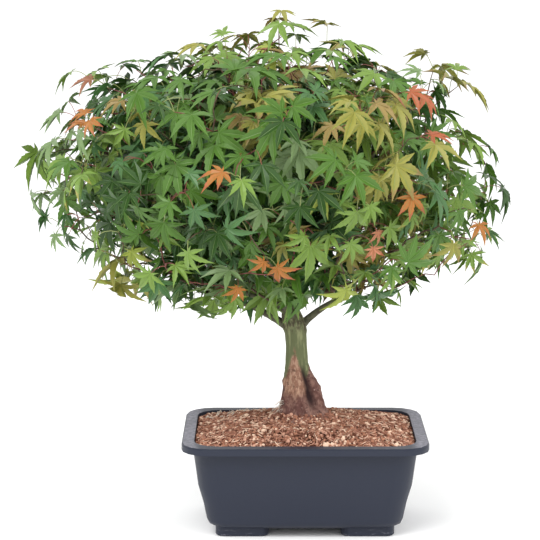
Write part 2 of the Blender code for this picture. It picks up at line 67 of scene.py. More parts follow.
TRUNK_STATIONS = (
    (0.1088, 0.0475, 0.0250),
    (0.1245, 0.0434, 0.0215),
    (0.1450, 0.0415, 0.0189),
    (0.1570, 0.0392, 0.0148),
    (0.1690, 0.0371, 0.0116),
    (0.1870, 0.0366, 0.0108),
    (0.2030, 0.0355, 0.0116),
    (0.2120, 0.0335, 0.0122),
    (0.2240, 0.0306, 0.0092),
    (0.2700, 0.0270, 0.0072),
    (0.3250, 0.0215, 0.0055),
)
FOOT_LEVEL, FOOT_X, FOOT_HALF = TRUNK_STATIONS[0]
TRUNK_FLATNESS = 0.86
ROOT_RIDGES = (
    (184, 0.0200, 24),
    (-14, 0.0125, 26),
    (238, 0.0080, 22),
    (300, 0.0095, 24),
    (60, 0.0085, 28),
    (122, 0.0080, 28),
)
ROOT_HEIGHT = 0.0065
HEAP_HEIGHT = 0.0085

CROWN_WIDTH = 0.500
CROWN_DEPTH = 0.450
CROWN_MIDDLE = 0.360
CROWN_TOP = 0.532
CROWN_FOOT = 0.228
CROWN_LEAN = 0.035
UPPER_POWER = 2.0
LOWER_POWER = 2.7

# How far the longest sprigs reach towards that outline, every 15 degrees from the right
# side up over the top, down the left side and back underneath
OUTLINE_SHARES = (
    *(1.00, 0.98, 1.04, 0.92, 0.94, 1.02, 0.98, 0.88, 0.90, 0.92, 1.03, 0.94),
    *(1.00, 0.89, 0.89, 0.94, 0.98, 1.06, 1.02, 1.00, 1.03, 1.03, 1.09, 1.06),
)

# Limbs: the name that a bough shares with the mass it carries, its direction in degrees
# and height on the trunk, how far out the mass's middle is as a share of the crown's half
# width, that middle's height, and the bough's half thickness at the trunk
LIMBS = (
    ("low_right", 6, 0.202, 0.66, 0.290, 0.0042),
    ("low_back_right", 60, 0.222, 0.64, 0.286, 0.0036),
    ("low_back_left", 116, 0.214, 0.64, 0.286, 0.0036),
    ("low_left", 170, 0.200, 0.66, 0.288, 0.0042),
    ("low_front_left", 216, 0.220, 0.64, 0.286, 0.0036),
    ("low_front", 266, 0.214, 0.60, 0.282, 0.0036),
    ("low_front_right", 316, 0.226, 0.64, 0.286, 0.0036),
    ("middle_right", 14, 0.262, 0.62, 0.394, 0.0034),
    ("middle_back_right", 74, 0.276, 0.58, 0.394, 0.0032),
    ("middle_back_left", 132, 0.268, 0.60, 0.392, 0.0032),
    ("middle_left", 190, 0.254, 0.62, 0.388, 0.0034),
    ("middle_front_left", 244, 0.270, 0.58, 0.392, 0.0034),
    ("middle_front_right", 302, 0.286, 0.60, 0.396, 0.0034),
    ("top_left", 170, 0.302, 0.30, 0.468, 0.0030),
    ("top_right", 24, 0.310, 0.32, 0.478, 0.0030),
    ("top_front", 276, 0.316, 0.24, 0.472, 0.0030),
)
SHORTEST_BOUGH = 0.42
LONGEST_BOUGH = 0.90
BOUGH_STRETCH = 0.03
TIP_MARGIN = 0.006
BOUGH_TIP_SHARE = 0.52
BOUGH_RISE = 0.35
BOUGH_LEVELLING = 0.25

# Finer growth than the solids have, by the same rule
BOUGH_STEPS = 16
BOUGH_SIDES = 14
BOUGH_LUMPS = 150
BOUGH_SWELL = 0.16
COLLAR_SWELL = 0.9
COLLAR_SHARE = 0.10
STEM_LENGTH = 0.010
SHOOT_ARCH = 0.08
SHOOT_WANDER = 0.05
SHOOT_STEPS = 4
RUN_WEIGHT = 0.35
END_TRIES = 60000
SHELL = (0.30, 0.86)
SHELL_BUMPS = 0.13
BUMP_SIZE = 0.034
LOWEST_SHOOT = 0.250
END_MARGIN = 0.004
TIP_RADIUS = 0.0006
TIP_TAPER = 0.6
TWIG_THICKENING = 0.42
TWIG_SIDES = 5
YOUNG_LOAD = 2
# Shoots are numbered from this times their limb's number
LIMB_STEP = 1000
# A direction in which no limb or shoot starts, and a least divisor
ODD_WAY = (0.31, 0.17, 0.93)
TINY = 1e-9

# Leaf: seven pointed, toothed lobes as turns in degrees and shares of the longest, each
# with a pale rib and an edge given as places along it and half widths
LOBES = ((-126, 0.32), (-84, 0.64), (-41, 0.91), (0, 1.0), (41, 0.91), (84, 0.64), (126, 0.32))
LOBE_VARIATION = (0.88, 1.06)
LOBE_WANDER = 6
NOTCH = 0.27
NOTCH_PLACE = 0.1
NOTCH_LIFT = 0.06
BASE_TURN = 154
BASE_REACH = 0.06
MIDRIB = (0.42, 0.70)
RIB_HALF = 0.0060
EDGE = (
    (0.41, 0.132),
    (0.44, 0.112),
    (0.56, 0.122),
    (0.60, 0.095),
    (0.71, 0.083),
    (0.75, 0.056),
)
MOST_TEETH = len(EDGE) // 2
EDGE_VARIATION = (0.9, 1.1)
LEAF_KINDS = 10
BLADE, TIP, RIB = range(3)
TIP_FROM = 0.58
LOBE_DROOP = 0.28
DROOP_VARIATION = (0.3, 1.8)
LOBE_FOLD = 0.6
FOLD_VARIATION = (0.5, 1.5)
LEAF_TRIES = 6
LEAF_VARIATION = (0.58, 1.18)
BLADE_MIDDLE = 0.45

# Where leaves stand: in pairs along the shoots and three at a tip, turned up and outward,
# thinner at the rim and the top, and hanging lower under the middle
TIP_LEAVES = (0, -70, 70)
PAIR_SPACING = 0.012
PAIR_LEAN = 0.5
BARE_WITHIN = 0.30
LEAF_OVERHANG = (0.10, 0.24)
LEAF_REACH = 1.03
RIM_FROM = 0.78
RIM_THINNING = 0.7
TOP_FROM = 0.43
TOP_THINNING = 0.35
HANGING_DEPTH = 0.10
HANGING_REACH = 0.10
HANGING_SPREAD = 7
LOOSENESS = (0.4, 1.6)
FACE_OUT = (0.35, 0.7, 0.7)
FACE_UP = 0.5
STALK_OUT = 0.3
HINGE = 0.6
HANG = (0.1, 2.2)
LEAST_AHEAD = -0.1
STALK_VARIATION = (0.6, 1.2)
STALK_STEPS = 3
STALK_RADIUS = 0.0004
STALK_ARCH = 0.12
STALK_SIDES = 3
RED_SHARE = 0.4


def tone(red, green, blue):
    """A colour as it looks on a screen, 0 to 255, in the linear values that Blender uses."""
    shares = (c / 255 for c in (red, green, blue))
    return tuple(c / 12.92 if c <= 0.04045 else ((c + 0.055) / 1.055) ** 2.4 for c in shares)


def tint(name, *screen):
    """A colour setting."""
    return FloatVectorProperty(
        name=name,
        description=name + " as a base colour",
        subtype="COLOR",
        size=3,
        min=0.0,
        max=1.0,
        default=tone(*screen),
    )


def length(name, description, default):
    """A length setting."""
    return FloatProperty(
        name=name, description=description, subtype="DISTANCE", unit="LENGTH", default=default
    )


def whole(name, description, default):
    """A setting that is a whole number."""
    return IntProperty(name=name, description=description, default=default)


def amount(name, description, default):
    """A setting that is a number from 0 up."""
    return FloatProperty(name=name, description=description, default=default, min=0)


class MAPLE_PG_pot(bpy.types.PropertyGroup):
    plastic: tint("Plastic", 34, 39, 53)
    worn: tint("Worn plastic", 158, 156, 166)
    roughness: FloatProperty(
        name="Roughness", description="How dull the plastic is", default=0.42, min=0, max=1
    )


class MAPLE_PG_soil(bpy.types.PropertyGroup):
    crumbs: whole("Crumbs", "How many crumbs of soil", 14500)
    heaped: whole("Heaped", "Crumbs on the roots", 1500)
    crumb_size: length("Crumb size", "Half width of a middling crumb", 0.0011)
    fibres: whole("Fibres", "How many fibres lie on it", 1200)
    dark: tint("Dark soil", 96, 58, 44)
    brown: tint("Brown soil", 148, 102, 84)
    rust: tint("Rusty soil", 168, 118, 94)
    tan: tint("Tan bark crumbs", 198, 152, 130)
    pale: tint("Pale grains", 230, 198, 174)


class MAPLE_PG_bark(bpy.types.PropertyGroup):
    relief: length("Relief", "Depth of the bark's furrows", 0.0009)
    olive: tint("Upper bark", 100, 106, 74)
    streak: tint("Pale streaks", 138, 142, 104)
    bare: tint("Bare patch", 138, 100, 82)
    foot: tint("Bark at the foot", 96, 64, 58)
    # Painted shade for the trunk's furrows and deep features
    furrow: tint("Furrows", 44, 27, 27)
    bough: tint("Bough bark", 88, 88, 68)
    twig: tint("Twig bark", 92, 74, 58)
    shoot: tint("Young shoots", 112, 56, 52)


class MAPLE_PG_leaves(bpy.types.PropertyGroup):
    seed: whole("Seed", "Which tree grows", 7)
    shoots: whole("Shoots", "Shoots on each mass", 24)
    most: whole("Most leaves", "Most leaves in all", 1600)
    size: length("Leaf size", "Length of the longest lobe", 0.0365)
    spacing: length("Spacing", "Least room between two leaves' middles", 0.0106)
    stalk: length("Stalk", "Length of a middling stalk", 0.018)
    deep: tint("Deep green", 38, 70, 16)
    green: tint("Mid green", 70, 106, 32)
    blue: tint("Bluish green", 64, 102, 54)
    # Painted sheen: a pale grey-green standing in for the white room's reflection on leaves at
    # the left rim
    sage: tint("Sage green", 106, 130, 82)
    fresh: tint("Fresh green", 106, 134, 54)
    lime: tint("Lime green", 140, 152, 62)
    olive: tint("Olive green", 134, 132, 58)
    bronze: tint("Bronze", 134, 114, 62)
    orange: tint("Amber", 156, 98, 38)
    rust: tint("Rust", 154, 82, 48)
    pink: tint("Dry pink", 168, 110, 80)
    russet: tint("Russet", 132, 84, 56)
    rib: tint("Leaf ribs", 104, 130, 72)
    stalk_green: tint("Green stalks", 128, 136, 78)
    stalk_red: tint("Red stalks", 128, 68, 58)


class MAPLE_PG_stage(bpy.types.PropertyGroup):
    distance: length("Camera distance", "How far in front the camera stands", 2.1084)
    height: length("Camera height", "How high the camera stands", 0.6198)
    floor: tint("Floor", 250, 250, 250)
    key: amount("Key light", "Power in watts", 40)
    fill: amount("Fill light", "Power in watts", 16)
    sky: amount("Surroundings", "Strength of the white room", 1.2)


# Materials
class Term:
    """A socket of a material's nodes, on which sums are written as in Python."""

    def __init__(self, finish, socket):
        self.finish = finish
        self.socket = socket

    def __add__(self, other):
        return self.finish.math("ADD", self, other)

    def __radd__(self, other):
        return self.finish.math("ADD", other, self)

    def __sub__(self, other):
        return self.finish.math("SUBTRACT", self, other)

    def __rsub__(self, other):
        return self.finish.math("SUBTRACT", other, self)

    def __mul__(self, other):
        return self.finish.math("MULTIPLY", self, other)

    def __rmul__(self, other):
        return self.finish.math("MULTIPLY", other, self)


class Finish:
    """A material under making."""

    def __init__(self, name, roughness=0.5, specular=0.5):
        self.material = bpy.data.materials.new(name)
        self.material.use_nodes = True
        self.tree = self.material.node_tree
        self.surface = self.tree.nodes["Principled BSDF"]
        self.set("Roughness", roughness)
        self.set("Specular IOR Level", specular)

    def node(self, kind, settings=(), sockets=(), out=0):
        """A node with its settings made first and then its sockets set or linked."""
        made = self.tree.nodes.new(kind)
        for key, value in dict(settings).items():
            setattr(made, key, value)
        for key, value in dict(sockets).items():
            self.feed(made.inputs[key], value)
        return Term(self, made.outputs[out])

    def feed(self, socket, value):
        """Link a term to a socket, or set a number or colour on it."""
        if isinstance(value, Term):
            self.tree.links.new(value.socket, socket)
        elif isinstance(value, (tuple, list)) and len(socket.default_value) > len(value):
            socket.default_value = (*value, 1.0)
        else:
            socket.default_value = value

    def set(self, name, value):
        """Set or link one of the surface's own sockets."""
        self.feed(self.surface.inputs[name], value)

    def math(self, operation, a, b=0.0):
        """One step of arithmetic."""
        return self.node("ShaderNodeMath", {"operation": operation}, {0: a, 1: b})

    def place(self):
        """Where a point is on the object."""
        return self.node("ShaderNodeTexCoord", out=3)

    def axes(self):
        """That place as three numbers."""
        first = self.node("ShaderNodeSeparateXYZ", (), {0: self.place()})
        return [Term(self, socket) for socket in first.socket.node.outputs]

    def stretched(self, scale):
        """The place with each axis scaled, for patterns that run one way."""
        return self.node("ShaderNodeMapping", {}, {"Vector": self.place(), "Scale": scale})

    def speckle(self, scale, detail=4.0, roughness=0.6, place=None):
        """Cloudy noise about one half."""
        sockets = {"Scale": scale, "Detail": detail, "Roughness": roughness}
        sockets["Vector"] = place or self.place()
        return self.node("ShaderNodeTexNoise", {}, sockets)

    def step(self, value, low, high):
        """0 below the low value, 1 above the high one and eased between."""
        sockets = {"Value": value, "From Min": low, "From Max": high}
        return self.node("ShaderNodeMapRange", {"interpolation_type": "SMOOTHSTEP"}, sockets)

    def mix(self, share, first, second):
        """A colour between two others."""
        return self.node(
            "ShaderNodeMix", {"data_type": "RGBA"}, {0: share, 6: first, 7: second}, out=2
        )

    def layers(self, colour, *layers):
        """A colour with others over it, each where its pattern rises between two values."""
        for pattern, low, high, share, over in layers:
            colour = self.mix(self.step(pattern, low, high) * share, colour, over)
        return colour

    def bump(self, height, strength, distance):
        """Raise the surface by a pattern."""
        sockets = {"Height": height, "Strength": strength, "Distance": distance}
        self.set("Normal", self.node("ShaderNodeBump", {}, sockets))


def plain_finish(name, colour, roughness, specular=0.5):
    """A surface of one colour."""
    finish = Finish(name, roughness, specular)
    finish.set("Base Color", tuple(colour))
    return finish.material


def plain_finishes(prefix, settings, names, roughness, specular=0.5):
    """A surface of one colour for each of several colour settings."""
    return [
        plain_finish(prefix + name, getattr(settings, name), roughness, specular)
        for name in names
    ]


# Where the pot is worn: heights on its lip and at its feet, and how far out the lip's ends are
LIP_TOP = (0.0997, 0.09999)
FEET_TOP = (0.002, 0.010)
LIP_ENDS = (0.104, 0.116)
# Shares of worn colour all along the lip, at its ends, and there by cloud and by chalk
LIP_WORN, ENDS_WORN, CLOUD_WORN, CHALK_WORN = 0.02, 0.30, 0.30, 0.32
# Shares of scuffs along the lip, more at its ends, and at the feet
LIP_SCUFFS, ENDS_SCUFFS, FEET_SCUFFS = 0.2, 0.3, 0.35


def pot_finish(settings):
    """Moulded slate-grey plastic, scuffed along the rim and at the feet."""
    finish = Finish("pot_plastic", settings.roughness, 0.3)
    x, _, z = finish.axes()
    cloud = finish.speckle(14.0, 3.0)
    grain = finish.speckle(420.0, 2.0)
    scratch = finish.speckle(90.0, 5.0, 0.7, finish.stretched((1.0, 1.0, 4.0)))
    chalk = finish.step(finish.speckle(240.0, 3.0, 0.7), 0.44, 0.60)
    lip = finish.step(z, *LIP_TOP)
    ends = finish.step(finish.math("ABSOLUTE", x - POT_X), *LIP_ENDS)
    feet = 1 - finish.step(z, *FEET_TOP)
    scuffs = lip * (LIP_SCUFFS + ends * ENDS_SCUFFS) + feet * FEET_SCUFFS
    worn = lip * (LIP_WORN + ends * (ENDS_WORN + cloud * CLOUD_WORN + chalk * CHALK_WORN))
    share = finish.step(scratch + grain * 0.25, 0.66, 0.84) * scuffs + worn
    base = finish.mix(cloud * 0.3, settings.plastic[:], tone(34, 38, 52))
    finish.set("Base Color", finish.mix(share, base, settings.worn[:]))
    finish.set("Roughness", settings.roughness + share * 0.3 + grain * 0.08)
    finish.bump(grain, 0.12, 0.0004)
    return finish.material


def soil_finish(settings):
    """Dark earth that shows between the crumbs."""
    finish = Finish("soil_earth", 0.95, 0.2)
    clods = finish.speckle(160.0, 6.0, 0.7)
    earth = finish.layers(settings.dark[:], (clods, 0.4, 0.62, 1.0, settings.brown[:]))
    finish.set("Base Color", earth)
    finish.bump(clods, 0.9, 0.002)
    return finish.material


# Heights at which the bark changes: dark over the fork, and a red-brown foot that reaches
# higher right of a place
FORK = (0.198, 0.208)
FOOT_BARK = (0.147, 0.160)
FOOT_RAISED = 0.020
FOOT_RIGHT = (0.045, 0.052)
# Bare patch: its middle, how it narrows from a height up, its half width, how far back it
# goes, and its lower and upper ends
PATCH_X = 0.0345
PATCH_FROM = 0.145
PATCH_NARROWING = 0.30
PATCH_HALF = (0.0115, 0.0145)
PATCH_FRONT = (-0.004, 0.000)
PATCH_LOW = (0.128, 0.142)
PATCH_HIGH = (0.182, 0.190)
# How far cloudy noise shifts those heights
FORK_WANDER, BLOTCH_WANDER, MOTTLE_WANDER = 0.02, 0.030, 0.012


def trunk_finish(settings):
    """Olive bark with pale streaks, a bare tan patch and a red-brown foot, with painted shade
    in its furrows.
    """
    finish = Finish("trunk_bark", 0.82, 0.25)
    x, y, z = finish.axes()
    streaks = finish.speckle(260.0, 4.0, 0.6, finish.stretched((1.0, 1.0, 0.12)))
    fibres = finish.speckle(300.0, 5.0, 0.7, finish.stretched((1.0, 1.0, 0.3)))
    blotch = finish.speckle(32.0, 4.0, 0.6)
    mottle = finish.speckle(95.0, 5.0, 0.65)
    flecks = finish.speckle(230.0, 3.0, 0.7)
    scraps = finish.speckle(340.0, 2.0, 0.5)
    fine = finish.speckle(520.0, 3.0, 0.6)

    fork = finish.step(z + (mottle - 0.5) * FORK_WANDER, *FORK)
    upper = finish.layers(
        settings.olive[:],
        (streaks, 0.46, 0.66, 1.0, settings.streak[:]),
        (mottle, 0.58, 0.74, 0.55, tone(78, 70, 48)),
        (fibres, 0.40, 0.60, fork * 0.9, tone(68, 56, 46)),
    )
    bare = finish.layers(
        settings.bare[:],
        (fibres, 0.44, 0.60, 1.0, tone(176, 142, 120)),
        (mottle, 0.52, 0.66, 0.8, tone(98, 70, 58)),
        (flecks, 0.58, 0.68, 0.75, tone(70, 44, 36)),
    )
    low = finish.layers(
        settings.foot[:],
        (mottle, 0.42, 0.66, 1.0, tone(142, 108, 96)),
        (blotch, 0.55, 0.70, 0.7, tone(80, 52, 48)),
        (fibres, 0.52, 0.68, 0.6, tone(160, 128, 116)),
        (flecks, 0.58, 0.68, 0.8, tone(50, 32, 32)),
        (scraps, 0.66, 0.72, 0.6, tone(196, 168, 158)),
    )

    edge = z + (blotch - 0.5) * BLOTCH_WANDER + (mottle - 0.5) * MOTTLE_WANDER
    raised = finish.step(x, *FOOT_RIGHT) * FOOT_RAISED
    colour = finish.mix(1 - finish.step(edge - raised, *FOOT_BARK), upper, low)
    away = finish.math("ABSOLUTE", x - PATCH_X) + (edge - PATCH_FROM) * PATCH_NARROWING
    patch = (1 - finish.step(away, *PATCH_HALF)) * (1 - finish.step(y, *PATCH_FRONT))
    patch = patch * (1 - finish.step(edge, *PATCH_HIGH)) * finish.step(edge, *PATCH_LOW)
    colour = finish.mix(patch, colour, bare)
    # Painted shade: the trunk's deep furrows and features are darkened by a stored attribute
    furrow = finish.node("ShaderNodeAttribute", {"attribute_name": "furrow"}, out=2)
    finish.set("Base Color", finish.mix(furrow, colour, settings.furrow[:]))
    finish.set("Roughness", 0.72 + mottle * 0.22)
    finish.bump(streaks * 0.4 + mottle * 0.7 + fine * 0.3 + fibres * 0.5, 0.7, 0.0014)
    return finish.material


def bark_finish(name, colour, dark, scale):
    """Bark of boughs and twigs, lightly mottled."""
    finish = Finish(name, 0.78, 0.3)
    mottle = finish.speckle(scale, 4.0, 0.65)
    finish.set("Base Color", finish.layers(colour, (mottle, 0.42, 0.68, 1.0, dark)))
    finish.bump(mottle, 0.5, 0.0006)
    return finish.material


# Meshes
def settle(piece, nodes=()):
    """Fix a finished piece to the tree's one body, in place of the nodes that it stands for."""
    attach(piece, "root")
    if nodes:
        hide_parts(*nodes)


def clear_choice():
    """Leave edit mode with nothing selected."""
    if bpy.context.object and bpy.context.object.mode != "OBJECT":
        bpy.ops.object.mode_set(mode="OBJECT")
    bpy.ops.object.select_all(action="DESELECT")


class Parts:
    """Small shapes that become one piece."""

    def __init__(self):
        self.shapes = []
        self.shades = []

    def add(self, shape, shade=0):
        """Take in points and triangles, and the number of each triangle's finish."""
        self.shapes.append(shape)
        self.shades.append(np.full(len(shape[1]), shade))

    def join(self, name, slot, finishes, nodes=(), smooth=False):
        """Make one mesh object of all the shapes and fix it to the tree."""
        starts = np.cumsum([0] + [len(points) for points, _ in self.shapes[:-1]])
        points = np.concatenate([points for points, _ in self.shapes])
        faces = [faces + start for (_, faces), start in zip(self.shapes, starts)]
        corners = np.concatenate(faces).astype(np.int32).ravel()
        mesh = bpy.data.meshes.new(name)
        mesh.vertices.add(len(points))
        mesh.vertices.foreach_set("co", points.astype(np.float32).ravel())
        mesh.loops.add(len(corners))
        mesh.loops.foreach_set("vertex_index", corners)
        starts = np.arange(0, len(corners), 3, dtype=np.int32)
        mesh.polygons.add(len(starts))
        mesh.polygons.foreach_set("loop_start", starts)
        for finish in finishes:
            mesh.materials.append(finish)
        shades = np.concatenate(self.shades).astype(np.int32)
        mesh.polygons.foreach_set("material_index", shades)
        mesh.polygons.foreach_set("use_smooth", np.full(len(starts), smooth))
        mesh.update(calc_edges=True)
        mesh.validate()
        piece = bpy.data.objects.new(name, mesh)
        bpy.context.scene.collection.objects.link(piece)
        settle(piece, nodes)


def tube(path, radii, sides):
    """Points and triangles of a closed tube round a path, kept from twisting."""
    path = np.asarray(path)
    radii = np.asarray(radii)
    ahead = np.gradient(path, axis=0)
    ahead /= np.linalg.norm(ahead, axis=1)[:, None]
    across = np.cross(ahead[0], ODD_WAY)
    turns = np.arange(sides) * 2 * math.pi / sides
    rings = []
    for spot, way, radius in zip(path, ahead, radii):
        across = across - way * across.dot(way)
        across /= np.linalg.norm(across)
        up = np.cross(way, across)
        spokes = np.outer(np.cos(turns), across) + np.outer(np.sin(turns), up)
        rings.append(spot + radius * spokes)
    low = np.arange(len(path) - 1)[:, None] * sides + np.arange(sides)
    side = np.arange(len(path) - 1)[:, None] * sides + (np.arange(sides) + 1) % sides
    walls = [(low, side, side + sides), (low, side + sides, low + sides)]
    faces = [np.stack(wall, axis=-1).reshape(-1, 3) for wall in walls]
    last = (len(path) - 1) * sides
    fan = np.arange(1, sides - 1)
    faces.append(np.stack([np.zeros_like(fan), fan + 1, fan], axis=1))
    faces.append(np.stack([np.full_like(fan, last), last + fan, last + fan + 1], axis=1))
    return np.concatenate(rings), np.concatenate(faces)


# The tree's rule of growth
def smooth_step(share):
    """Ease from 0 to 1."""
    return share * share * (3 - 2 * share)


def ramp(value, start, span):
    """0 up to the start, 1 from a span beyond it and eased between."""
    return smooth_step(min(max((value - start) / span, 0), 1))


def degrees_between(first, second):
    """The lesser turn between two directions in degrees."""
    return abs((first - second + 180) % 360 - 180)


def trunk_station(z):
    """The trunk's sideways place and half thickness at a height."""
    heights, places, halves = zip(*TRUNK_STATIONS)
    return float(np.interp(z, heights, places)), float(np.interp(z, heights, halves))


def root_spread(degrees, rise):
    """How far the roots spread beyond the trunk's half thickness in a direction."""
    spread_out = 0.0
    for heading, most, half_turn in ROOT_RIDGES:
        share = 1 - degrees_between(degrees, heading) / (2 * half_turn)
        spread_out += most * smooth_step(max(0.0, share))
    return spread_out * math.exp(-rise / ROOT_HEIGHT)


def outline_share(along, rise):
    """The outline's share in a direction, seen from the front or, turned, from a side."""
    degrees = np.degrees(np.arctan2(rise, along)) % 360
    steps = np.arange(len(OUTLINE_SHARES) + 1) * 360 / len(OUTLINE_SHARES)
    return np.interp(degrees, steps, (*OUTLINE_SHARES, OUTLINE_SHARES[0]))


def crown_reach(points):
    """How far out points lie: 1 on the crown's outline, less inside it."""
    points = np.asarray(points)
    x, y, z = points[..., 0], points[..., 1], points[..., 2]
    rise = z - CROWN_MIDDLE - CROWN_LEAN * x
    height = np.where(rise > 0, CROWN_TOP - CROWN_MIDDLE, CROWN_MIDDLE - CROWN_FOOT)
    power = np.where(rise > 0, UPPER_POWER, LOWER_POWER)
    flat = np.hypot(2 * x / CROWN_WIDTH, 2 * y / CROWN_DEPTH)
    sideways = (2 * x / CROWN_WIDTH) ** 2 / np.maximum(flat**2, TINY)
    share = sideways * outline_share(x, z - CROWN_MIDDLE)
    share = share + (1 - sideways) * outline_share(y, z - CROWN_MIDDLE)
    return (flat**power + (np.abs(rise) / height) ** power) ** (1 / power) / share


def unit(vectors):
    """Vectors of length 1."""
    return vectors / np.maximum(np.linalg.norm(vectors, axis=-1, keepdims=True), TINY)


def crown_outward(points):
    """The direction out of the crown at points."""
    scale = (CROWN_WIDTH**2, CROWN_DEPTH**2, (2 * (CROWN_TOP - CROWN_MIDDLE)) ** 2)
    return unit((np.asarray(points) - (0, 0, CROWN_MIDDLE)) / scale)


class Limb:
    """A bough, and the place of the mass that it carries."""

    def __init__(self, name, heading, height, distance, level, thickness):
        self.name = name
        turn = math.radians(heading)
        x = distance * math.cos(turn) * CROWN_WIDTH / 2
        y = distance * math.sin(turn) * CROWN_DEPTH / 2
        self.centre = np.array((x, y, level))
        self.base = np.array((trunk_station(height)[0], 0, height))
        self.thickness = thickness

    def grow_bough(self, centres):
        """Run the bough out from the trunk until it enters the space of its mass."""
        share = SHORTEST_BOUGH
        tip = self.base + share * (self.centre - self.base)
        while share < LONGEST_BOUGH and not self.holds(tip, centres, TIP_MARGIN):
            share += BOUGH_STRETCH
            tip = self.base + share * (self.centre - self.base)
        span = np.linalg.norm(tip - self.base)
        away = unit(self.centre - self.base)
        self.tip = tip
        self.heading = unit(away - (0, 0, BOUGH_LEVELLING))
        leave = unit(away + (0, 0, BOUGH_RISE)) * span
        t = np.linspace(0, 1, BOUGH_STEPS + 1)[:, None]
        self.path = (
            self.base * (1 + 2 * t) * (1 - t) ** 2
            + leave * t * (1 - t) ** 2
            + tip * t * t * (3 - 2 * t)
            + self.heading * span * t * t * (t - 1)
        )
        taper = self.thickness * (1 - BOUGH_TIP_SHARE)
        collar = 1 + COLLAR_SWELL * np.exp(-t[:, 0] / COLLAR_SHARE)
        self.radii = (self.thickness - taper * t[:, 0]) * collar

    def holds(self, points, centres, margin):
        """Whether points are nearer to this mass's middle than to any other, by a margin."""
        held = np.ones(np.shape(points)[:-1], bool)
        for other in centres:
            if other is not self.centre:
                apart = unit(other - self.centre)
                half_way = (self.centre + other) / 2
                held &= (half_way - points) @ apart >= margin
        return held


class Twigs:
    """The shoots of one mass: points, parents and loads."""

    def __init__(self, limb, ends, rng):
        self.points = [limb.tip, limb.tip + limb.heading * STEM_LENGTH]
        self.parents = [None, 0]
        self.tips = []
        run = [0.0, STEM_LENGTH]
        for end in sorted(ends, key=lambda p: np.linalg.norm(p - limb.tip)):
            spots = np.array(self.points)
            detours = np.linalg.norm(spots - end, axis=1) + RUN_WEIGHT * np.array(run)
            detours[0] = math.inf
            joint = int(np.argmin(detours))
            start = self.points[joint]
            reach = np.linalg.norm(end - start)
            for step in range(1, SHOOT_STEPS + 1):
                share = step / SHOOT_STEPS
                rise = 4 * SHOOT_ARCH * share * (1 - share) * reach
                spot = start + share * (end - start) + (0, 0, rise)
                if step < SHOOT_STEPS:
                    spot = spot + rng.uniform(-1, 1, 3) * SHOOT_WANDER * reach
                run.append(run[joint] + np.linalg.norm(spot - self.points[joint]))
                self.parents.append(joint)
                self.points.append(spot)
                joint = len(self.points) - 1
            self.tips.append(joint)
        self.loads = [0] * len(self.points)
        for i in reversed(range(len(self.points))):
            self.loads[i] = max(self.loads[i], 1)
            if self.parents[i] is not None:
                self.loads[self.parents[i]] += self.loads[i]

    def chains(self):
        """Runs of points, each from where a shoot leaves its parent to its own end."""
        found = []
        used = set()
        for end in reversed(range(1, len(self.points))):
            if end in used:
                continue
            chain = [end]
            while self.parents[chain[-1]] is not None and chain[-1] not in used:
                used.add(chain[-1])
                chain.append(self.parents[chain[-1]])
            found.append(chain[::-1])
        return found

    def tubes(self):
        """Each shoot as a tube, with whether it is young."""
        made = []
        for chain in self.chains():
            feed = np.array([self.loads[i] for i in chain], float)
            feed[0] = feed[1]
            radii = TIP_RADIUS * feed**TWIG_THICKENING
            radii[-1] *= TIP_TAPER
            path = [self.points[i] for i in chain]
            made.append((tube(path, radii, TWIG_SIDES), feed[0] <= YOUNG_LOAD))
        return made

    def sites(self):
        """Where leaves may stand: root, aim and shoot."""
        found = []
        for shoot, tip in enumerate(self.tips):
            node = tip
            for step in range(SHOOT_STEPS - 1):
                start, end = self.points[self.parents[node]], self.points[node]
                span = np.linalg.norm(end - start)
                heading = (end - start) / span
                across = unit(np.cross(heading, crown_outward(end)))
                raised = np.cross(heading, across)
                if step == 0:
                    for turn in TIP_LEAVES:
                        lean = math.radians(turn)
                        aim = heading * math.cos(lean) + across * math.sin(lean)
                        found.append((end, aim, shoot))
                for pair in range(max(1, round(span / PAIR_SPACING))):
                    spot = end - heading * pair * PAIR_SPACING
                    lean = across if (pair + step) % 2 else raised
                    for side in (-1, 1):
                        found.append((spot, unit(heading * PAIR_LEAN + lean * side), shoot))
                node = self.parents[node]
        return found


def grow_limbs():
    """Every limb with its bough grown."""
    limbs = [Limb(*sizes) for sizes in LIMBS]
    centres = [limb.centre for limb in limbs]
    for limb in limbs:
        limb.grow_bough(centres)
    return limbs, centres


def choose_ends(limbs, centres, count, rng):
    """Ends of each mass's shoots, each as far as it can be from those already taken."""
    low = (-CROWN_WIDTH / 2, -CROWN_DEPTH / 2, LOWEST_SHOOT)
    high = (CROWN_WIDTH / 2, CROWN_DEPTH / 2, CROWN_TOP)
    cloud = rng.uniform(low, high, (END_TRIES, 3))
    reach = crown_reach(cloud)
    bumps = np.array([noise.noise(Vector(p) / BUMP_SIZE) for p in cloud])
    cloud = cloud[(reach > SHELL[0]) & (reach + SHELL_BUMPS * bumps < SHELL[1])]
    room = np.ones(len(cloud))
    chosen = {}
    for limb in limbs:
        held = limb.holds(cloud, centres, END_MARGIN)
        ends = []
        for _ in range(count):
            best = int(np.argmax(np.where(held, room, -1)))
            ends.append(cloud[best])
            room = np.minimum(room, np.linalg.norm(cloud - cloud[best], axis=1))
        chosen[limb.name] = ends
    return chosen


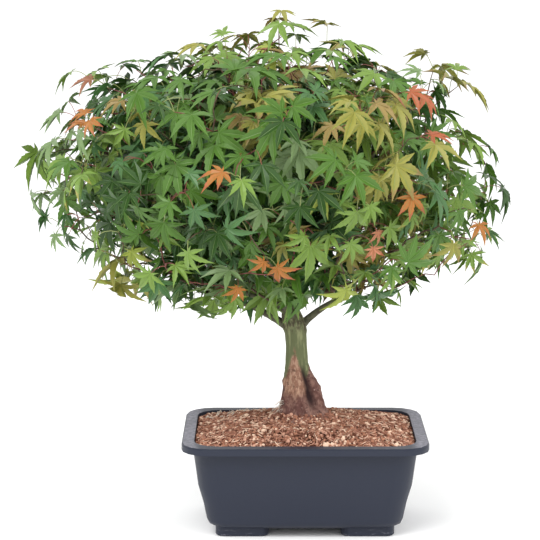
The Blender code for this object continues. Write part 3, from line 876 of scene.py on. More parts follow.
class Leaves:
    """Leaves that could stand on the shoots, and those that are kept."""

    def __init__(self, sites, settings, rng):
        roots, aims, shoots, limits = zip(*sites)
        self.root = np.repeat(np.array(roots), LEAF_TRIES, axis=0)
        aim = np.repeat(np.array(aims), LEAF_TRIES, axis=0)
        self.site = np.repeat(np.arange(len(sites)), LEAF_TRIES)
        self.shoot = np.repeat(np.array(shoots), LEAF_TRIES)
        count = len(self.root)
        loose = rng.uniform(*LOOSENESS, (count, 1))
        jitter = rng.uniform(-1, 1, (count, 3)) * loose
        outward = crown_outward(self.root)
        level = outward * FACE_OUT
        level[:, 2] = np.maximum(level[:, 2], 0) + FACE_UP
        self.up = unit(level + jitter)
        stalk = unit(aim + outward * STALK_OUT + jitter)
        steep = np.maximum(0, np.sum(stalk * self.up, axis=1, keepdims=True) - HINGE)
        stalk = unit(stalk - self.up * steep)
        reach = settings.stalk * rng.uniform(*STALK_VARIATION, (count, 1))
        self.joint = self.root + stalk * reach
        ahead = stalk - np.array((0, 0, 1)) * rng.uniform(*HANG, (count, 1))
        self.ahead = unit(ahead - self.up * np.sum(ahead * self.up, axis=1, keepdims=True))
        self.side = np.cross(self.up, self.ahead)
        self.length = settings.size * rng.uniform(*LEAF_VARIATION, (count, 1))
        self.middle = self.joint + self.ahead * self.length * BLADE_MIDDLE
        self.extent = np.zeros(count)
        for degrees, share in LOBES[1:-1]:
            turn = math.radians(degrees)
            way = self.ahead * math.cos(turn) + self.side * math.sin(turn)
            tip = self.joint + (way - self.up * LOBE_DROOP) * self.length * share
            self.extent = np.maximum(self.extent, crown_reach(tip))
        sound = np.sum(self.ahead * stalk, axis=1) > LEAST_AHEAD
        deep = crown_reach(self.middle) < BARE_WITHIN
        low = ((CROWN_MIDDLE - self.root[:, 2]) / HANGING_DEPTH).clip(0, 1)
        flat = np.hypot(self.root[:, 0] / CROWN_WIDTH, self.root[:, 1] / CROWN_DEPTH)
        low *= (1 - HANGING_SPREAD * flat**2).clip(0, 1)
        overhang = rng.uniform(*LEAF_OVERHANG, self.shoot.max() + 1)[self.shoot] * (1 + low)
        limit = np.repeat(limits, LEAF_TRIES) + overhang
        limit = np.minimum(limit, LEAF_REACH + HANGING_REACH * low)
        self.open = sound & ~deep & (self.extent <= limit)
        rim = ((self.extent - RIM_FROM) / (1 - RIM_FROM)).clip(0, 1)
        high = ((self.root[:, 2] - TOP_FROM) / (CROWN_TOP - TOP_FROM)).clip(0, 1)
        self.claim = 1 + RIM_THINNING * rim * (1 - low) + TOP_THINNING * high

    def choose(self, most, spacing):
        """Keep the leaves that have most room, one to a site."""
        room = np.ones(len(self.root))
        is_open = self.open.copy()
        kept = []
        while len(kept) < most:
            best = int(np.argmax(np.where(is_open, room / self.claim, -1)))
            if not is_open[best] or room[best] < spacing * self.claim[best]:
                break
            kept.append(best)
            is_open[self.site == self.site[best]] = False
            room = np.minimum(room, np.linalg.norm(self.middle - self.middle[best], axis=1))
        return np.array(kept)


def zip_chains(inner, inner_places, outer, outer_places):
    """Triangles between two chains of points that end in one tip, and how far along each is."""
    faces = []
    middles = []
    i = j = 0
    while i < len(inner) - 1 or j < len(outer) - 1:
        a, b = inner[i], outer[j]
        middles.append((inner_places[i] + outer_places[j]) / 2)
        far_in = inner_places[i + 1] if i < len(inner) - 1 else math.inf
        far_out = outer_places[j + 1] if j < len(outer) - 1 else math.inf
        if far_in <= far_out:
            i += 1
            faces.append((a, inner[i], b))
        else:
            j += 1
            faces.append((a, outer[j], b))
    sound = [len(set(corners)) == 3 for corners in faces]
    faces = [corners for corners, is_sound in zip(faces, sound) if is_sound]
    return faces, [middle for middle, is_sound in zip(middles, sound) if is_sound]


def leaf_kind(rng):
    """One leaf of length 1, ahead, to the left and up: points, triangles and their zones."""
    points = [(0.0, 0.0, 0.0)]
    faces = []
    zones = []
    ribs = []

    def add(along, aside, turn, lift):
        x = along * math.cos(turn) - aside * math.sin(turn)
        y = along * math.sin(turn) + aside * math.cos(turn)
        points.append((x, y, lift))
        return len(points) - 1

    sizes = [share * rng.uniform(*LOBE_VARIATION) for _, share in LOBES]
    turns = [math.radians(degrees + rng.uniform(-1, 1) * LOBE_WANDER) for degrees, _ in LOBES]
    drops = [LOBE_DROOP * rng.uniform(*DROOP_VARIATION) for _ in LOBES]
    fold = LOBE_FOLD * rng.uniform(*FOLD_VARIATION)
    notches = [add(BASE_REACH, 0, math.radians(-BASE_TURN), 0.0)]
    for a, b, first, second in zip(turns, turns[1:], sizes, sizes[1:]):
        reach = NOTCH * (first + second) / 2
        notches.append(add(reach, 0, (a + b) / 2, fold * NOTCH_LIFT))
    notches.append(add(BASE_REACH, 0, math.radians(BASE_TURN), 0.0))
    for i, (turn, size, drop) in enumerate(zip(turns, sizes, drops)):
        teeth = max(1, round(MOST_TEETH * LOBES[i][1]))
        edge = EDGE[: 2 * teeth]
        midrib = MIDRIB[: teeth - 1]
        places = (NOTCH_PLACE, *(t for t, _ in edge), 1)
        tip = add(size, 0, turn, -drop * size**2)
        banks = []
        for side, notch in ((-1, notches[i]), (1, notches[i + 1])):
            bank = [0]
            for t in midrib:
                half = RIB_HALF * (1 - t / 2)
                bank.append(add(t * size, side * half, turn, -drop * (t * size) ** 2))
            bank.append(tip)
            rim = [notch]
            for t, half in edge:
                width = half * size * rng.uniform(*EDGE_VARIATION)
                lift = fold * width - drop * (t * size) ** 2
                rim.append(add(t * size, side * width, turn, lift))
            rim.append(tip)
            strip, middles = zip_chains(bank, (0, *midrib, 1), rim, places)
            faces += strip if side > 0 else [(a, c, b) for a, b, c in strip]
            zones += [TIP if middle > TIP_FROM else BLADE for middle in middles]
            banks.append(bank)
        right, left = banks
        for start in range(teeth):
            ribs += [(right[start], right[start + 1], left[start + 1])]
            if start:
                ribs += [(right[start], left[start + 1], left[start])]
    ribs = [corners for corners in ribs if len(set(corners)) == 3]
    return np.array(points), np.array(faces + ribs), np.array(zones + [RIB] * len(ribs))


# Sprays' tints by where they stand: how often always, how often where nothing fades it,
# what height, the right side and the rim add to that, and how far each of them fades it.
# Part of this is painted light: deep and mid green fade towards the rim, as painted shade
# in the middle; fresh, lime and olive gain towards the right and the rim, as painted light;
# and the painted sheen gathers at the left rim.
TINT_SHARES = {
    "deep": (0.01, 0.27, (0, 0, 0), (0, 0, 1)),
    "green": (0, 0.36, (0, 0, 0), (0, 0.3, 0.7)),
    "blue": (0, 0.32, (0, 0, 0), (1, 0.7, 0)),
    "fresh": (0, 0.07, (0.08, 0.18, 0.20), (0, 0, 0)),
    "lime": (0, 0.005, (0.05, 0.04, 0.04), (0, 0, 0)),
    "olive": (0, 0.015, (0.60, 0.24, 0.10), (0, 0, 0)),
    "bronze": (0, 0.005, (0.07, 0, 0), (0, 0, 0)),
    "sage": (0.04, 0.08, (0, 0, 0.24), (0, 1, 0)),
}
TINTS = (*TINT_SHARES, "orange", "rust", "pink", "russet")
# Where height, the right side and the rim begin to tell, over what span, and the half
# width and height of the outline that the rim is measured by
HIGH_FROM, HIGH_SPAN = 0.40, 0.11
RIGHT_FROM, RIGHT_SPAN = -0.05, 0.20
OUTER_FROM, OUTER_SPAN = 0.45, 0.4
OUTLINE_HALVES = (0.25, 0.17)
# How often a leaf differs from its spray, and what it may be instead
STRAY_SHARE = 0.35
STRAYS = {
    "deep": ("deep", "green"),
    "green": ("deep", "green", "fresh"),
    "blue": ("deep", "blue", "green", "sage"),
    "fresh": ("green", "fresh"),
    "lime": ("fresh", "lime"),
    "olive": ("green", "fresh", "olive", "bronze"),
    "sage": ("blue", "sage"),
}
# How often each tint's lobes end in another tint, and which
TIP_TINTS = {
    "fresh": (0.10, "olive"),
    "lime": (0.15, "bronze"),
    "olive": (0.35, "bronze"),
    "bronze": (0.30, "russet"),
    "orange": (0.60, "rust"),
    "pink": (0.50, "rust"),
}
# Sprays that have turned: sideways place, height, how many leaves and which tints they take
TURNED_SPRAYS = (
    (-0.192, 0.440, 4, ("orange", "orange", "russet")),
    (-0.041, 0.374, 1, ("orange",)),
    (-0.027, 0.268, 1, ("orange",)),
    (0.008, 0.276, 2, ("orange", "rust")),
    (0.056, 0.424, 1, ("bronze",)),
    (0.156, 0.352, 1, ("orange",)),
    (0.108, 0.319, 2, ("pink",)),
    (0.166, 0.454, 2, ("rust", "bronze")),
    (0.186, 0.428, 1, ("rust",)),
    (0.236, 0.331, 1, ("orange",)),
)
TURNED_SIZE = 0.66
FRONT_WEIGHT = 0.25


def tint_shares(x, z):
    """How often a spray at a place takes each tint, which also paints light and shade."""
    outer = math.hypot(x / OUTLINE_HALVES[0], (z - CROWN_MIDDLE) / OUTLINE_HALVES[1])
    place = np.array(
        [
            ramp(z, HIGH_FROM, HIGH_SPAN),
            ramp(x, RIGHT_FROM, RIGHT_SPAN),
            ramp(outer, OUTER_FROM, OUTER_SPAN),
        ]
    )
    shares = np.array(
        [
            always + (free + place.dot(gains)) * np.prod(1 - place * fades)
            for always, free, gains, fades in TINT_SHARES.values()
        ]
    )
    return shares / shares.sum()


def deal_tints(leaves, kept, rng):
    """A tint for each kept leaf, by the spray that it stands in, and one for its tips."""
    middles = leaves.middle[kept]
    shades = np.zeros(len(kept), int)
    sprays = {}
    for i, index in enumerate(kept):
        spray = leaves.shoot[index]
        if spray not in sprays:
            x, _, z = middles[i]
            sprays[spray] = rng.choice(len(TINT_SHARES), p=tint_shares(x, z))
        shades[i] = sprays[spray]
        if rng.random() < STRAY_SHARE:
            name = TINTS[shades[i]]
            shades[i] = TINTS.index(rng.choice(STRAYS.get(name, (name,))))
    for x, z, count, names in TURNED_SPRAYS:
        flat = np.hypot(middles[:, 0] - x, middles[:, 2] - z)
        order = np.argsort(flat + (middles[:, 1] + CROWN_DEPTH / 2) * FRONT_WEIGHT)
        for i in order[:count]:
            shades[i] = TINTS.index(names[rng.integers(len(names))])
            leaves.length[kept[i]] *= TURNED_SIZE
    tips = shades.copy()
    for name, (often, ending) in TIP_TINTS.items():
        turned = (shades == TINTS.index(name)) & (rng.random(len(kept)) < often)
        tips[turned] = TINTS.index(ending)
    return shades, tips


# Lights: name, place, size and the setting of its power, and the height they aim at
LIGHTS = (
    ("key_light", (-0.9, -1.5, 2.1), 1.4, "key"),
    ("fill_light", (1.6, -1.2, 1.2), 1.6, "fill"),
)
LIT_HEIGHT = 0.30
FLOOR_WIDTH = 30
# Camera: sideways place, pitch down in degrees and lens in millimetres
CAMERA_X = 0.0093
CAMERA_PITCH = 9.532
CAMERA_LENS = 139.1


class MAPLE_OT_stage(bpy.types.Operator):
    """Set the floor, the soft light and the camera"""

    bl_idname = "maple.stage"
    bl_label = "Stage"

    def execute(self, context):
        settings = context.scene.maple_stage
        clear_choice()
        bpy.ops.mesh.primitive_plane_add(size=FLOOR_WIDTH, location=(0, 0, 0))
        floor = context.object
        floor.name = "floor"
        floor.data.materials.append(plain_finish("floor_paper", settings.floor, 0.9, 0.2))

        world = bpy.data.worlds.new("studio")
        world.use_nodes = True
        room = world.node_tree.nodes["Background"]
        room.inputs["Color"].default_value = (1.0, 1.0, 1.0, 1.0)
        room.inputs["Strength"].default_value = settings.sky
        context.scene.world = world
        context.scene.view_settings.view_transform = "Standard"

        for name, place, size, power in LIGHTS:
            light = bpy.data.lights.new(name, "AREA")
            light.energy = getattr(settings, power)
            light.size = size
            lamp = bpy.data.objects.new(name, light)
            lamp.location = place
            aim = Vector((0.0, 0.0, LIT_HEIGHT)) - lamp.location
            lamp.rotation_euler = aim.to_track_quat("-Z", "Y").to_euler()
            context.scene.collection.objects.link(lamp)

        camera = bpy.data.objects.new("camera", bpy.data.cameras.new("camera"))
        camera.data.lens = CAMERA_LENS
        camera.data.sensor_width = 36.0
        camera.data.clip_end = 100.0
        camera.location = (CAMERA_X, -settings.distance, settings.height)
        camera.rotation_euler = (math.radians(90 - CAMERA_PITCH), 0, 0)
        context.scene.collection.objects.link(camera)
        context.scene.camera = camera
        return {"FINISHED"}


# Pot: the least angle in degrees that stays sharp, and how near points are merged
SHARP_FROM = 32
WELD_DISTANCE = 1e-5


class MAPLE_OT_pot(bpy.types.Operator):
    """Round the pot's corners and give it its moulded plastic"""

    bl_idname = "maple.pot"
    bl_label = "Pot"

    def execute(self, context):
        clear_choice()
        pot = bpy.data.objects.new("pot_moulding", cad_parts["pot"].data.copy())
        context.scene.collection.objects.link(pot)
        pot.select_set(True)
        context.view_layer.objects.active = pot
        bpy.ops.object.mode_set(mode="EDIT")
        bpy.ops.mesh.select_all(action="SELECT")
        bpy.ops.mesh.remove_doubles(threshold=WELD_DISTANCE)
        bpy.ops.object.mode_set(mode="OBJECT")
        bpy.ops.object.shade_smooth_by_angle(angle=math.radians(SHARP_FROM))
        flatten = pot.modifiers.new("Weighted Normal", "WEIGHTED_NORMAL")
        flatten.keep_sharp = True
        bpy.ops.object.modifier_apply(modifier=flatten.name)
        pot.data.materials.clear()
        pot.data.materials.append(pot_finish(context.scene.maple_pot))
        settle(pot, ["pot"])
        clear_choice()
        return {"FINISHED"}


def soil_height(x, y):
    """The soil's height at a place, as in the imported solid."""
    along, aside = x - FOOT_X, y
    inner = math.hypot(along / SOIL_TOP_RADII[0], aside / SOIL_TOP_RADII[1])
    if inner <= 1:
        return SOIL_TOP
    half_x = POT_WIDTH / 2 - SOIL_INSET
    half_y = POT_DEPTH / 2 - SOIL_INSET
    stretch = min(
        (POT_X + math.copysign(half_x, along) - FOOT_X) / along if along else math.inf,
        math.copysign(half_y, aside) / aside if aside else math.inf,
    )
    start = 1 / inner
    rise = ramp(stretch, 1, max(stretch - start, TINY))
    return SOIL_EDGE + (SOIL_TOP - SOIL_EDGE) * rise


def in_soil(x, y, margin):
    """Whether a place is within the pot's inner wall, by a margin."""
    half_x = POT_WIDTH / 2 - SOIL_INSET - margin
    half_y = POT_DEPTH / 2 - SOIL_INSET - margin
    corner = SOIL_CORNER - margin
    along = max(abs(x - POT_X) - half_x + corner, 0)
    aside = max(abs(y) - half_y + corner, 0)
    return math.hypot(along, aside) <= corner


# Crumbs: shapes of each kind, how rough and stretched they are, how their sizes spread, how
# deep they lie, and how often they take each colour
SOIL_SEED = 3
CRUMB_KINDS = 10
CRUMB_ROUGHNESS = (0.62, 1.25)
CRUMB_STRETCH = (0.6, 1.25)
CRUMB_SPREAD = 0.38
CRUMB_LIMITS = (0.4, 2.4)
CRUMB_LIFT = (-0.1, 0.55)
CRUMB_MARGIN = 0.0012
CRUMB_SHARES = {"dark": 0.18, "brown": 0.32, "rust": 0.28, "tan": 0.16, "pale": 0.06}
PALE = list(CRUMB_SHARES).index("pale")
PALE_SIZE = 1.25
COARSE_FROM = 0.0014
# How far crumbs lie over the trunk's foot, and how closely they are heaped low on its roots
TRUNK_OVERLAP = 0.004
HEAP_POWER = 1.6
# Fibres: room to the pot, half lengths, bend, places along them and how thick they are
# there, height above the soil, thickness and colours
FIBRE_MARGIN = 0.006
FIBRE_HALVES = (0.0022, 0.0055)
FIBRE_BEND = 0.3
FIBRE_PLACES = (-1, -0.3, 0.4, 1)
FIBRE_TAPER = (0.3, 1, 1, 0.3)
FIBRE_LIFT, FIBRE_LIFT_MORE = 0.0016, 0.0008
FIBRE_RADII = (2e-4, 6e-4)
FIBRE_SIDES = 4
FIBRE_SHADES = (1, 2, 3, 4)


def crumb_kinds(rng):
    """Rough crumbs of half width 1: fine ones with 8 faces and coarse ones with 20."""
    kinds = []
    for coarse in (False, True):
        shape = bmesh.new()
        if coarse:
            bmesh.ops.create_icosphere(shape, subdivisions=1, radius=1.0)
        else:
            bmesh.ops.create_uvsphere(shape, u_segments=4, v_segments=2, radius=1.0)
        ball = np.array([v.co for v in shape.verts])
        faces = np.array([[v.index for v in face.verts] for face in shape.faces])
        shape.free()
        rough = [
            ball * rng.uniform(*CRUMB_ROUGHNESS, (len(ball), 1)) for _ in range(CRUMB_KINDS)
        ]
        kinds.append([(points * rng.uniform(*CRUMB_STRETCH, 3), faces) for points in rough])
    return kinds


def random_turns(count, rng):
    """Turned axes for many small pieces, as an array of 3 by 3 matrices."""
    first = unit(rng.normal(size=(count, 3)))
    second = unit(np.cross(first, rng.normal(size=(count, 3))))
    return np.stack([first, second, np.cross(first, second)], axis=1)


class MAPLE_OT_soil(bpy.types.Operator):
    """Cover the soil with crumbs, grains and fibres"""

    bl_idname = "maple.soil"
    bl_label = "Soil"

    def execute(self, context):
        settings = context.scene.maple_soil
        rng = np.random.default_rng(SOIL_SEED)
        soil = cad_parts["soil"]
        soil.data.materials.clear()
        soil.data.materials.append(soil_finish(settings))
        finishes = plain_finishes("soil_", settings, CRUMB_SHARES, 0.92, 0.25)
        self.strew_crumbs(settings, finishes, rng)
        self.strew_fibres(settings, finishes, rng)
        return {"FINISHED"}

    def strew_crumbs(self, settings, finishes, rng):
        """Cover the soil and the foot of the roots with crumbs."""
        kinds = crumb_kinds(rng)
        crumbs = Parts()
        flat = self.scatter(settings.crumbs, CRUMB_MARGIN, rng)
        spots = [(x, y, soil_height(x, y)) for x, y in flat]
        spots += self.heap(settings.heaped, rng)
        turns = random_turns(len(spots), rng)
        sizes = rng.lognormal(0, CRUMB_SPREAD, len(spots)).clip(*CRUMB_LIMITS)
        sizes = settings.crumb_size * sizes
        shades = rng.choice(len(CRUMB_SHARES), len(spots), p=tuple(CRUMB_SHARES.values()))
        for i, (x, y, level) in enumerate(spots):
            size = sizes[i] * (PALE_SIZE if shades[i] == PALE else 1.0)
            points, faces = kinds[int(size > COARSE_FROM)][i % CRUMB_KINDS]
            spot = (x, y, level + size * rng.uniform(*CRUMB_LIFT))
            crumbs.add((points @ turns[i] * size + spot, faces), shades[i])
        crumbs.join("soil_crumbs", "soil", finishes)

    def strew_fibres(self, settings, finishes, rng):
        """Lay short bent fibres on the soil."""
        fibres = Parts()
        for x, y in self.scatter(settings.fibres, FIBRE_MARGIN, rng):
            turn = rng.uniform(0, 2 * math.pi)
            half = rng.uniform(*FIBRE_HALVES)
            bend = rng.uniform(-FIBRE_BEND, FIBRE_BEND)
            path = []
            for share in FIBRE_PLACES:
                away = turn + bend * share
                px = x + half * share * math.cos(away)
                py = y + half * share * math.sin(away)
                lift = FIBRE_LIFT + FIBRE_LIFT_MORE * rng.random()
                path.append((px, py, soil_height(px, py) + lift))
            radii = np.array(FIBRE_TAPER) * rng.uniform(*FIBRE_RADII)
            fibres.add(tube(path, radii, FIBRE_SIDES), rng.choice(FIBRE_SHADES))
        fibres.join("soil_fibres", "soil", finishes)

    def heap(self, count, rng):
        """Places low on the trunk's roots, where soil is heaped against them."""
        spots = []
        for _ in range(count):
            degrees = rng.uniform(-180, 180)
            rise = HEAP_HEIGHT * rng.random() ** HEAP_POWER
            x, half = trunk_station(FOOT_LEVEL + rise)
            reach = half + root_spread(degrees, rise)
            turn = math.radians(degrees)
            y = reach * TRUNK_FLATNESS * math.sin(turn)
            spots.append((x + reach * math.cos(turn), y, FOOT_LEVEL + rise))
        return spots

    def scatter(self, count, margin, rng):
        """Places on the soil, away from the trunk."""
        spots = []
        while len(spots) < count:
            x = POT_X + rng.uniform(-0.5, 0.5) * POT_WIDTH
            y = rng.uniform(-0.5, 0.5) * POT_DEPTH
            near = math.hypot(x - FOOT_X, y) < FOOT_HALF - TRUNK_OVERLAP
            if in_soil(x, y, margin) and not near:
                spots.append((x, y))
        return spots


# The trunk's sides, levels between its first stations for the roots' flare, and how often
# its faces are halved
TRUNK_SIDES = 28
FLARE_LEVELS = (0.1112, 0.1140, 0.1185)
TRUNK_HALVINGS = 3
# Features of the bark: direction in degrees, height, half spread in degrees and in
# metres, and how far it stands out
BARK_FEATURES = (
    (-66, 0.1475, 13, 0.0200, -0.0042),
    (-58, 0.1320, 10, 0.0090, -0.0020),
    (-40, 0.1440, 14, 0.0230, 0.0016),
    (-108, 0.1560, 26, 0.0240, 0.0010),
    (196, 0.1420, 13, 0.0040, -0.0024),
    (205, 0.1440, 26, 0.0100, 0.0012),
    (-95, 0.1215, 10, 0.0090, -0.0016),
    (-124, 0.1200, 8, 0.0080, -0.0016),
    (30, 0.1300, 12, 0.0160, -0.0020),
    (100, 0.1400, 14, 0.0200, -0.0022),
    (160, 0.1500, 12, 0.0160, 0.0014),
    (180, 0.2060, 26, 0.0045, 0.0012),
    (-20, 0.2050, 26, 0.0045, 0.0010),
    (-90, 0.2080, 40, 0.0040, 0.0007),
)
# Features from a depth on get painted shade, fully at another
SHADE_FROM, SHADE_AT = 0.0018, 0.004
# The bark is rough below a height, and fully so from a length under it
ROUGH_TO, ROUGH_EASE = 0.172, 0.03
# Noise over the bark: its roughness, step and layers; its grains to the metre round the
# trunk, up it and, for grooves, what a rough place adds up it; and its depths in shares of
# the relief, with what a rough place adds
GROOVES, GROOVE_GRAINS, GROOVE_DEPTHS = (0.7, 2.1, 4), (260, 26, 40), (0.35, 0.9)
LUMPS, LUMP_GRAINS, LUMP_DEPTHS = (0.8, 2.0, 3), (60, 55), (0.5, 1.6)
LUMP_SHIFT = 0.6
# Painted shade in deep grooves: from which depth of the noise, and how strongly
GROOVE_SHADE_FROM, GROOVE_SHADE = 0.35, 0.6
# Height over the foot that stays level
FOOT_KEPT = 0.001
# Root hairs: how many, and for each the level, the turn from the left, how far in it starts,
# its sideways and upward slopes, its length, its sag and its thickness
HAIR_SEED = 9
HAIRS = 34
HAIR_LEVELS = (0.117, 0.131)
HAIR_TURNS = (-0.5, 0.35)
HAIR_INSETS = (0.98, 0.8)
HAIR_SLOPES = ((-0.5, 0.5), (-0.75, 0.1))
HAIR_LENGTHS = (0.006, 0.014)
HAIR_SAG = -0.35
HAIR_POINTS = 5
HAIR_WANDER = 0.0003
HAIR_RADIUS = 0.00022
HAIR_SIDES = 3
# Pale curled roots on the soil at the back left: how many, between which corners, their
# points and steps, height above the soil and thickness
CURLS = 26
CURL_CORNERS = ((-0.058, 0.030), (0.006, 0.062))
CURL_POINTS = 6
CURL_STEP = 0.0028
CURL_LIFT, CURL_LIFT_MORE = 0.001, 0.0035
CURL_RADIUS = 0.00038


class MAPLE_OT_trunk(bpy.types.Operator):
    """Build the trunk with its flare, ridges and furrowed bark"""

    bl_idname = "maple.trunk"
    bl_label = "Trunk"

    def execute(self, context):
        settings = context.scene.maple_bark
        clear_choice()
        heights = [station[0] for station in TRUNK_STATIONS]
        heights[1:1] = FLARE_LEVELS
        bpy.ops.mesh.primitive_circle_add(
            vertices=TRUNK_SIDES,
            radius=FOOT_HALF,
            fill_type="NGON",
            location=(FOOT_X, 0, FOOT_LEVEL),
        )
        trunk = context.object
        trunk.name = "trunk_relief"
        bpy.ops.object.mode_set(mode="EDIT")
        bpy.ops.mesh.select_all(action="SELECT")
        last_x, last_half = FOOT_X, FOOT_HALF
        for low, high in zip(heights, heights[1:]):
            x, half = trunk_station(high)
            bpy.ops.mesh.extrude_region_move(
                TRANSFORM_OT_translate={"value": (x - last_x, 0, high - low)}
            )
            scale = half / last_half
            bpy.ops.transform.resize(value=(scale, scale, 1), center_override=(x, 0, high))
            last_x, last_half = x, half
        bpy.ops.object.mode_set(mode="OBJECT")
        bpy.ops.object.transform_apply(location=True, rotation=True, scale=True)
        refine = trunk.modifiers.new("Subdivision", "SUBSURF")
        refine.subdivision_type = "SIMPLE"
        refine.levels = refine.render_levels = TRUNK_HALVINGS
        bpy.ops.object.modifier_apply(modifier=refine.name)
        self.carve(trunk.data, settings.relief)
        bpy.ops.object.shade_smooth()
        trunk.data.materials.append(trunk_finish(settings))
        settle(trunk, ["trunk"])
        clear_choice()
        self.grow_hairs()
        return {"FINISHED"}

    def carve(self, mesh, relief):
        """Round the trunk, spread its roots, cut the bark's furrows and store painted shade for
        its deep places.
        """
        # A stored share of painted shade for each point, for the bark's finish
        furrow = mesh.attributes.new("furrow", "FLOAT", "POINT")
        depths = np.zeros(len(mesh.vertices))
        for vertex in mesh.vertices:
            z = vertex.co.z
            x, half = trunk_station(z)
            along, aside = vertex.co.x - x, vertex.co.y
            rise = z - FOOT_LEVEL
            turn = math.atan2(aside, along)
            degrees = math.degrees(turn)
            share = min(math.hypot(along, aside) / half, 1.0)
            reach = half + root_spread(degrees, rise)
            for heading, level, spread, tall, depth in BARK_FEATURES:
                apart = degrees_between(degrees, heading) / spread
                away = abs(z - level) / tall
                bite = math.exp(-(apart**2) - away**4)
                reach += depth * bite
                # Deep features get painted shade
                if depth < -SHADE_FROM:
                    depths[vertex.index] += bite * min(-depth / SHADE_AT, 1.0)
            spot = Vector((math.cos(turn), math.sin(turn), 0)) * half
            rough = ramp(-z, -ROUGH_TO, ROUGH_EASE)
            round_it, up, steeper = GROOVE_GRAINS
            run = Vector((spot.x * round_it, spot.y * round_it, z * (up + steeper * rough)))
            grooves = noise.fractal(run, *GROOVES)
            round_it, up = LUMP_GRAINS
            run = Vector((spot.x * round_it, spot.y * round_it, z * up))
            lumps = noise.fractal(run, *LUMPS)
            for pattern, (least, more) in ((grooves, GROOVE_DEPTHS), (lumps, LUMP_DEPTHS)):
                reach += relief * pattern * (least + more * rough)
            # Painted shade where the grooves are deep and the bark is rough
            dark = max(0, -grooves - GROOVE_SHADE_FROM) * GROOVE_SHADE
            depths[vertex.index] += dark * rough
            reach *= share
            vertex.co.x = x + reach * math.cos(turn)
            vertex.co.y = reach * TRUNK_FLATNESS * math.sin(turn)
            if rise > FOOT_KEPT:
                vertex.co.z = z + relief * LUMP_SHIFT * lumps * rough
        furrow.data.foreach_set("value", depths.clip(0, 1).astype(np.float32))
        mesh.update()

    def grow_hairs(self):
        """Fine root hairs at the left of the trunk's foot and pale curled roots on the soil."""
        rng = np.random.default_rng(HAIR_SEED)
        hairs = Parts()
        t = np.linspace(0, 1, HAIR_POINTS)[:, None]
        radii = np.linspace(1, 0.5, HAIR_POINTS) * HAIR_RADIUS
        for _ in range(HAIRS):
            level = rng.uniform(*HAIR_LEVELS)
            x, half = trunk_station(level)
            turn = rng.uniform(*HAIR_TURNS)
            along, aside = HAIR_INSETS
            start = (x - half * math.cos(turn) * along, half * math.sin(turn) * aside, level)
            way = unit(np.array((-1.0, *(rng.uniform(*slopes) for slopes in HAIR_SLOPES))))
            reach = rng.uniform(*HAIR_LENGTHS)
            path = start + way * t * reach + np.array((0, 0, HAIR_SAG)) * t * t * reach
            path = path + rng.uniform(-1, 1, (HAIR_POINTS, 3)) * HAIR_WANDER
            hairs.add(tube(path, radii, HAIR_SIDES))
        for _ in range(CURLS):
            middle = rng.uniform(*CURL_CORNERS)
            steps = rng.uniform(-CURL_STEP, CURL_STEP, (CURL_POINTS, 2))
            spots = np.cumsum(steps, axis=0) + middle
            lifts = CURL_LIFT + CURL_LIFT_MORE * rng.random(CURL_POINTS)
            path = [(x, y, soil_height(x, y) + lift) for (x, y), lift in zip(spots, lifts)]
            hairs.add(tube(path, np.full(CURL_POINTS, CURL_RADIUS), HAIR_SIDES))
        finish = plain_finish("root_hair", tone(206, 194, 180), 0.8, 0.2)
        hairs.join("root_hairs", "bark", [finish])


class MAPLE_OT_boughs(bpy.types.Operator):
    """Grow the main boughs out of the trunk"""

    bl_idname = "maple.boughs"
    bl_label = "Boughs"

    def execute(self, context):
        settings = context.scene.maple_bark
        limbs, _ = grow_limbs()
        boughs = Parts()
        for limb in limbs:
            points, faces = tube(limb.path, limb.radii, BOUGH_SIDES)
            middle = np.repeat(limb.path, BOUGH_SIDES, axis=0)
            swell = [noise.fractal(Vector(p * BOUGH_LUMPS), *LUMPS) for p in points]
            swell = 1 + BOUGH_SWELL * np.array(swell)[:, None]
            boughs.add((middle + (points - middle) * swell, faces))
        finish = bark_finish("bough_bark", settings.bough[:], tone(58, 54, 42), 180.0)
        nodes = ["bough_" + limb.name for limb in limbs]
        boughs.join("boughs", "bark", [finish], nodes, smooth=True)
        return {"FINISHED"}


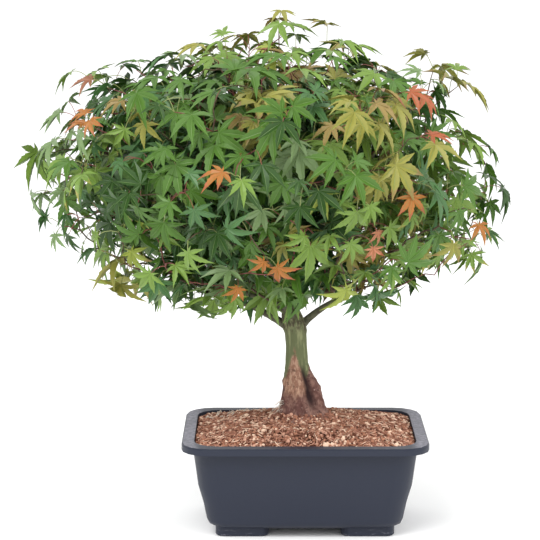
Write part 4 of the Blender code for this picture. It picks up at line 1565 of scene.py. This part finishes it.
class MAPLE_OT_foliage(bpy.types.Operator):
    """Grow every mass's twigs and hang its leaves"""

    bl_idname = "maple.foliage"
    bl_label = "Foliage"

    def execute(self, context):
        settings = context.scene.maple_leaves
        bark = context.scene.maple_bark
        rng = np.random.default_rng(settings.seed)
        limbs, centres = grow_limbs()
        ends = choose_ends(limbs, centres, settings.shoots, rng)
        wood, young, sites = Parts(), Parts(), []
        for number, limb in enumerate(limbs):
            twigs = Twigs(limb, ends[limb.name], rng)
            for shape, is_young in twigs.tubes():
                (young if is_young else wood).add(shape)
            limits = crown_reach([twigs.points[tip] for tip in twigs.tips])
            for root, aim, shoot in twigs.sites():
                sites.append((root, aim, number * LIMB_STEP + shoot, limits[shoot]))
        finish = bark_finish("twig_bark", bark.twig[:], tone(60, 50, 40), 240.0)
        wood.join("twigs", "bark", [finish], smooth=True)
        finish = plain_finish("shoot_bark", bark.shoot, 0.6)
        young.join("young_shoots", "bark", [finish], smooth=True)

        leaves = Leaves(sites, settings, rng)
        kept = leaves.choose(settings.most, settings.spacing)
        shades, tips = deal_tints(leaves, kept, rng)
        self.hang(leaves, kept, shades, tips, settings, limbs, rng)
        self.stalks(leaves, kept, settings, rng)
        return {"FINISHED"}

    def hang(self, leaves, kept, shades, tips, settings, limbs, rng):
        """Make the blades as three joined pieces: lower, middle and top."""
        finishes = plain_finishes("leaf_", settings, TINTS, 0.42, 0.4)
        finishes.append(plain_finish("leaf_rib", settings.rib, 0.42, 0.5))
        kinds = [leaf_kind(rng) for _ in range(LEAF_KINDS)]
        tiers = {"low": Parts(), "middle": Parts(), "top": Parts()}
        for index, shade, tip in zip(kept, shades, tips):
            points, faces, zones = kinds[rng.integers(LEAF_KINDS)]
            axes = np.stack([leaves.ahead[index], leaves.side[index], leaves.up[index]])
            blade = leaves.joint[index] + points @ axes * leaves.length[index]
            limb = limbs[leaves.shoot[index] // LIMB_STEP]
            colours = np.array((shade, tip, len(TINTS)))
            tiers[limb.name.split("_")[0]].add((blade, faces), colours[zones])
        for tier, parts in tiers.items():
            nodes = ["foliage_" + limb.name for limb in limbs if limb.name.startswith(tier)]
            parts.join("leaves_" + tier, "leaves", finishes, nodes)

    def stalks(self, leaves, kept, settings, rng):
        """Make the thin stalks, green or red by shoot, as one joined piece."""
        t = np.linspace(0, 1, STALK_STEPS + 1)[:, None]
        red = rng.random(leaves.shoot.max() + 1) < RED_SHARE
        stalks = Parts()
        for index in kept:
            start, end = leaves.root[index], leaves.joint[index]
            lift = 4 * STALK_ARCH * np.linalg.norm(end - start) * t * (1 - t)
            path = start + t * (end - start) + lift * np.array((0, 0, 1))
            shape = tube(path, np.full(len(path), STALK_RADIUS), STALK_SIDES)
            stalks.add(shape, int(red[leaves.shoot[index]]))
        finishes = plain_finishes("", settings, ("stalk_green", "stalk_red"), 0.5)
        stalks.join("leaf_stalks", "leaves", finishes)


GROUPS = (
    ("maple_stage", MAPLE_PG_stage),
    ("maple_pot", MAPLE_PG_pot),
    ("maple_soil", MAPLE_PG_soil),
    ("maple_bark", MAPLE_PG_bark),
    ("maple_leaves", MAPLE_PG_leaves),
)
OPERATORS = (
    MAPLE_OT_stage,
    MAPLE_OT_pot,
    MAPLE_OT_soil,
    MAPLE_OT_trunk,
    MAPLE_OT_boughs,
    MAPLE_OT_foliage,
)


class MAPLE_PT_panel(bpy.types.Panel):
    """The tree's pieces and their settings"""

    bl_idname = "MAPLE_PT_panel"
    bl_label = "Potted Maple"
    bl_space_type = "VIEW_3D"
    bl_region_type = "UI"
    bl_category = "Maple"

    def draw(self, context):
        for operator in OPERATORS:
            self.layout.operator(operator.bl_idname)
        for name, group in GROUPS:
            box = self.layout.box()
            for setting in group.__annotations__:
                box.prop(getattr(context.scene, name), setting)


def register():
    for name, group in GROUPS:
        bpy.utils.register_class(group)
        setattr(bpy.types.Scene, name, PointerProperty(type=group))
    for item in (*OPERATORS, MAPLE_PT_panel):
        bpy.utils.register_class(item)


def unregister():
    for item in (MAPLE_PT_panel, *reversed(OPERATORS)):
        bpy.utils.unregister_class(item)
    for name, group in reversed(GROUPS):
        delattr(bpy.types.Scene, name)
        bpy.utils.unregister_class(group)


def main():
    register()
    bpy.ops.maple.stage()
    bpy.ops.maple.pot()
    bpy.ops.maple.soil()
    bpy.ops.maple.trunk()
    bpy.ops.maple.boughs()
    bpy.ops.maple.foliage()


if __name__ == "__main__":
    main()
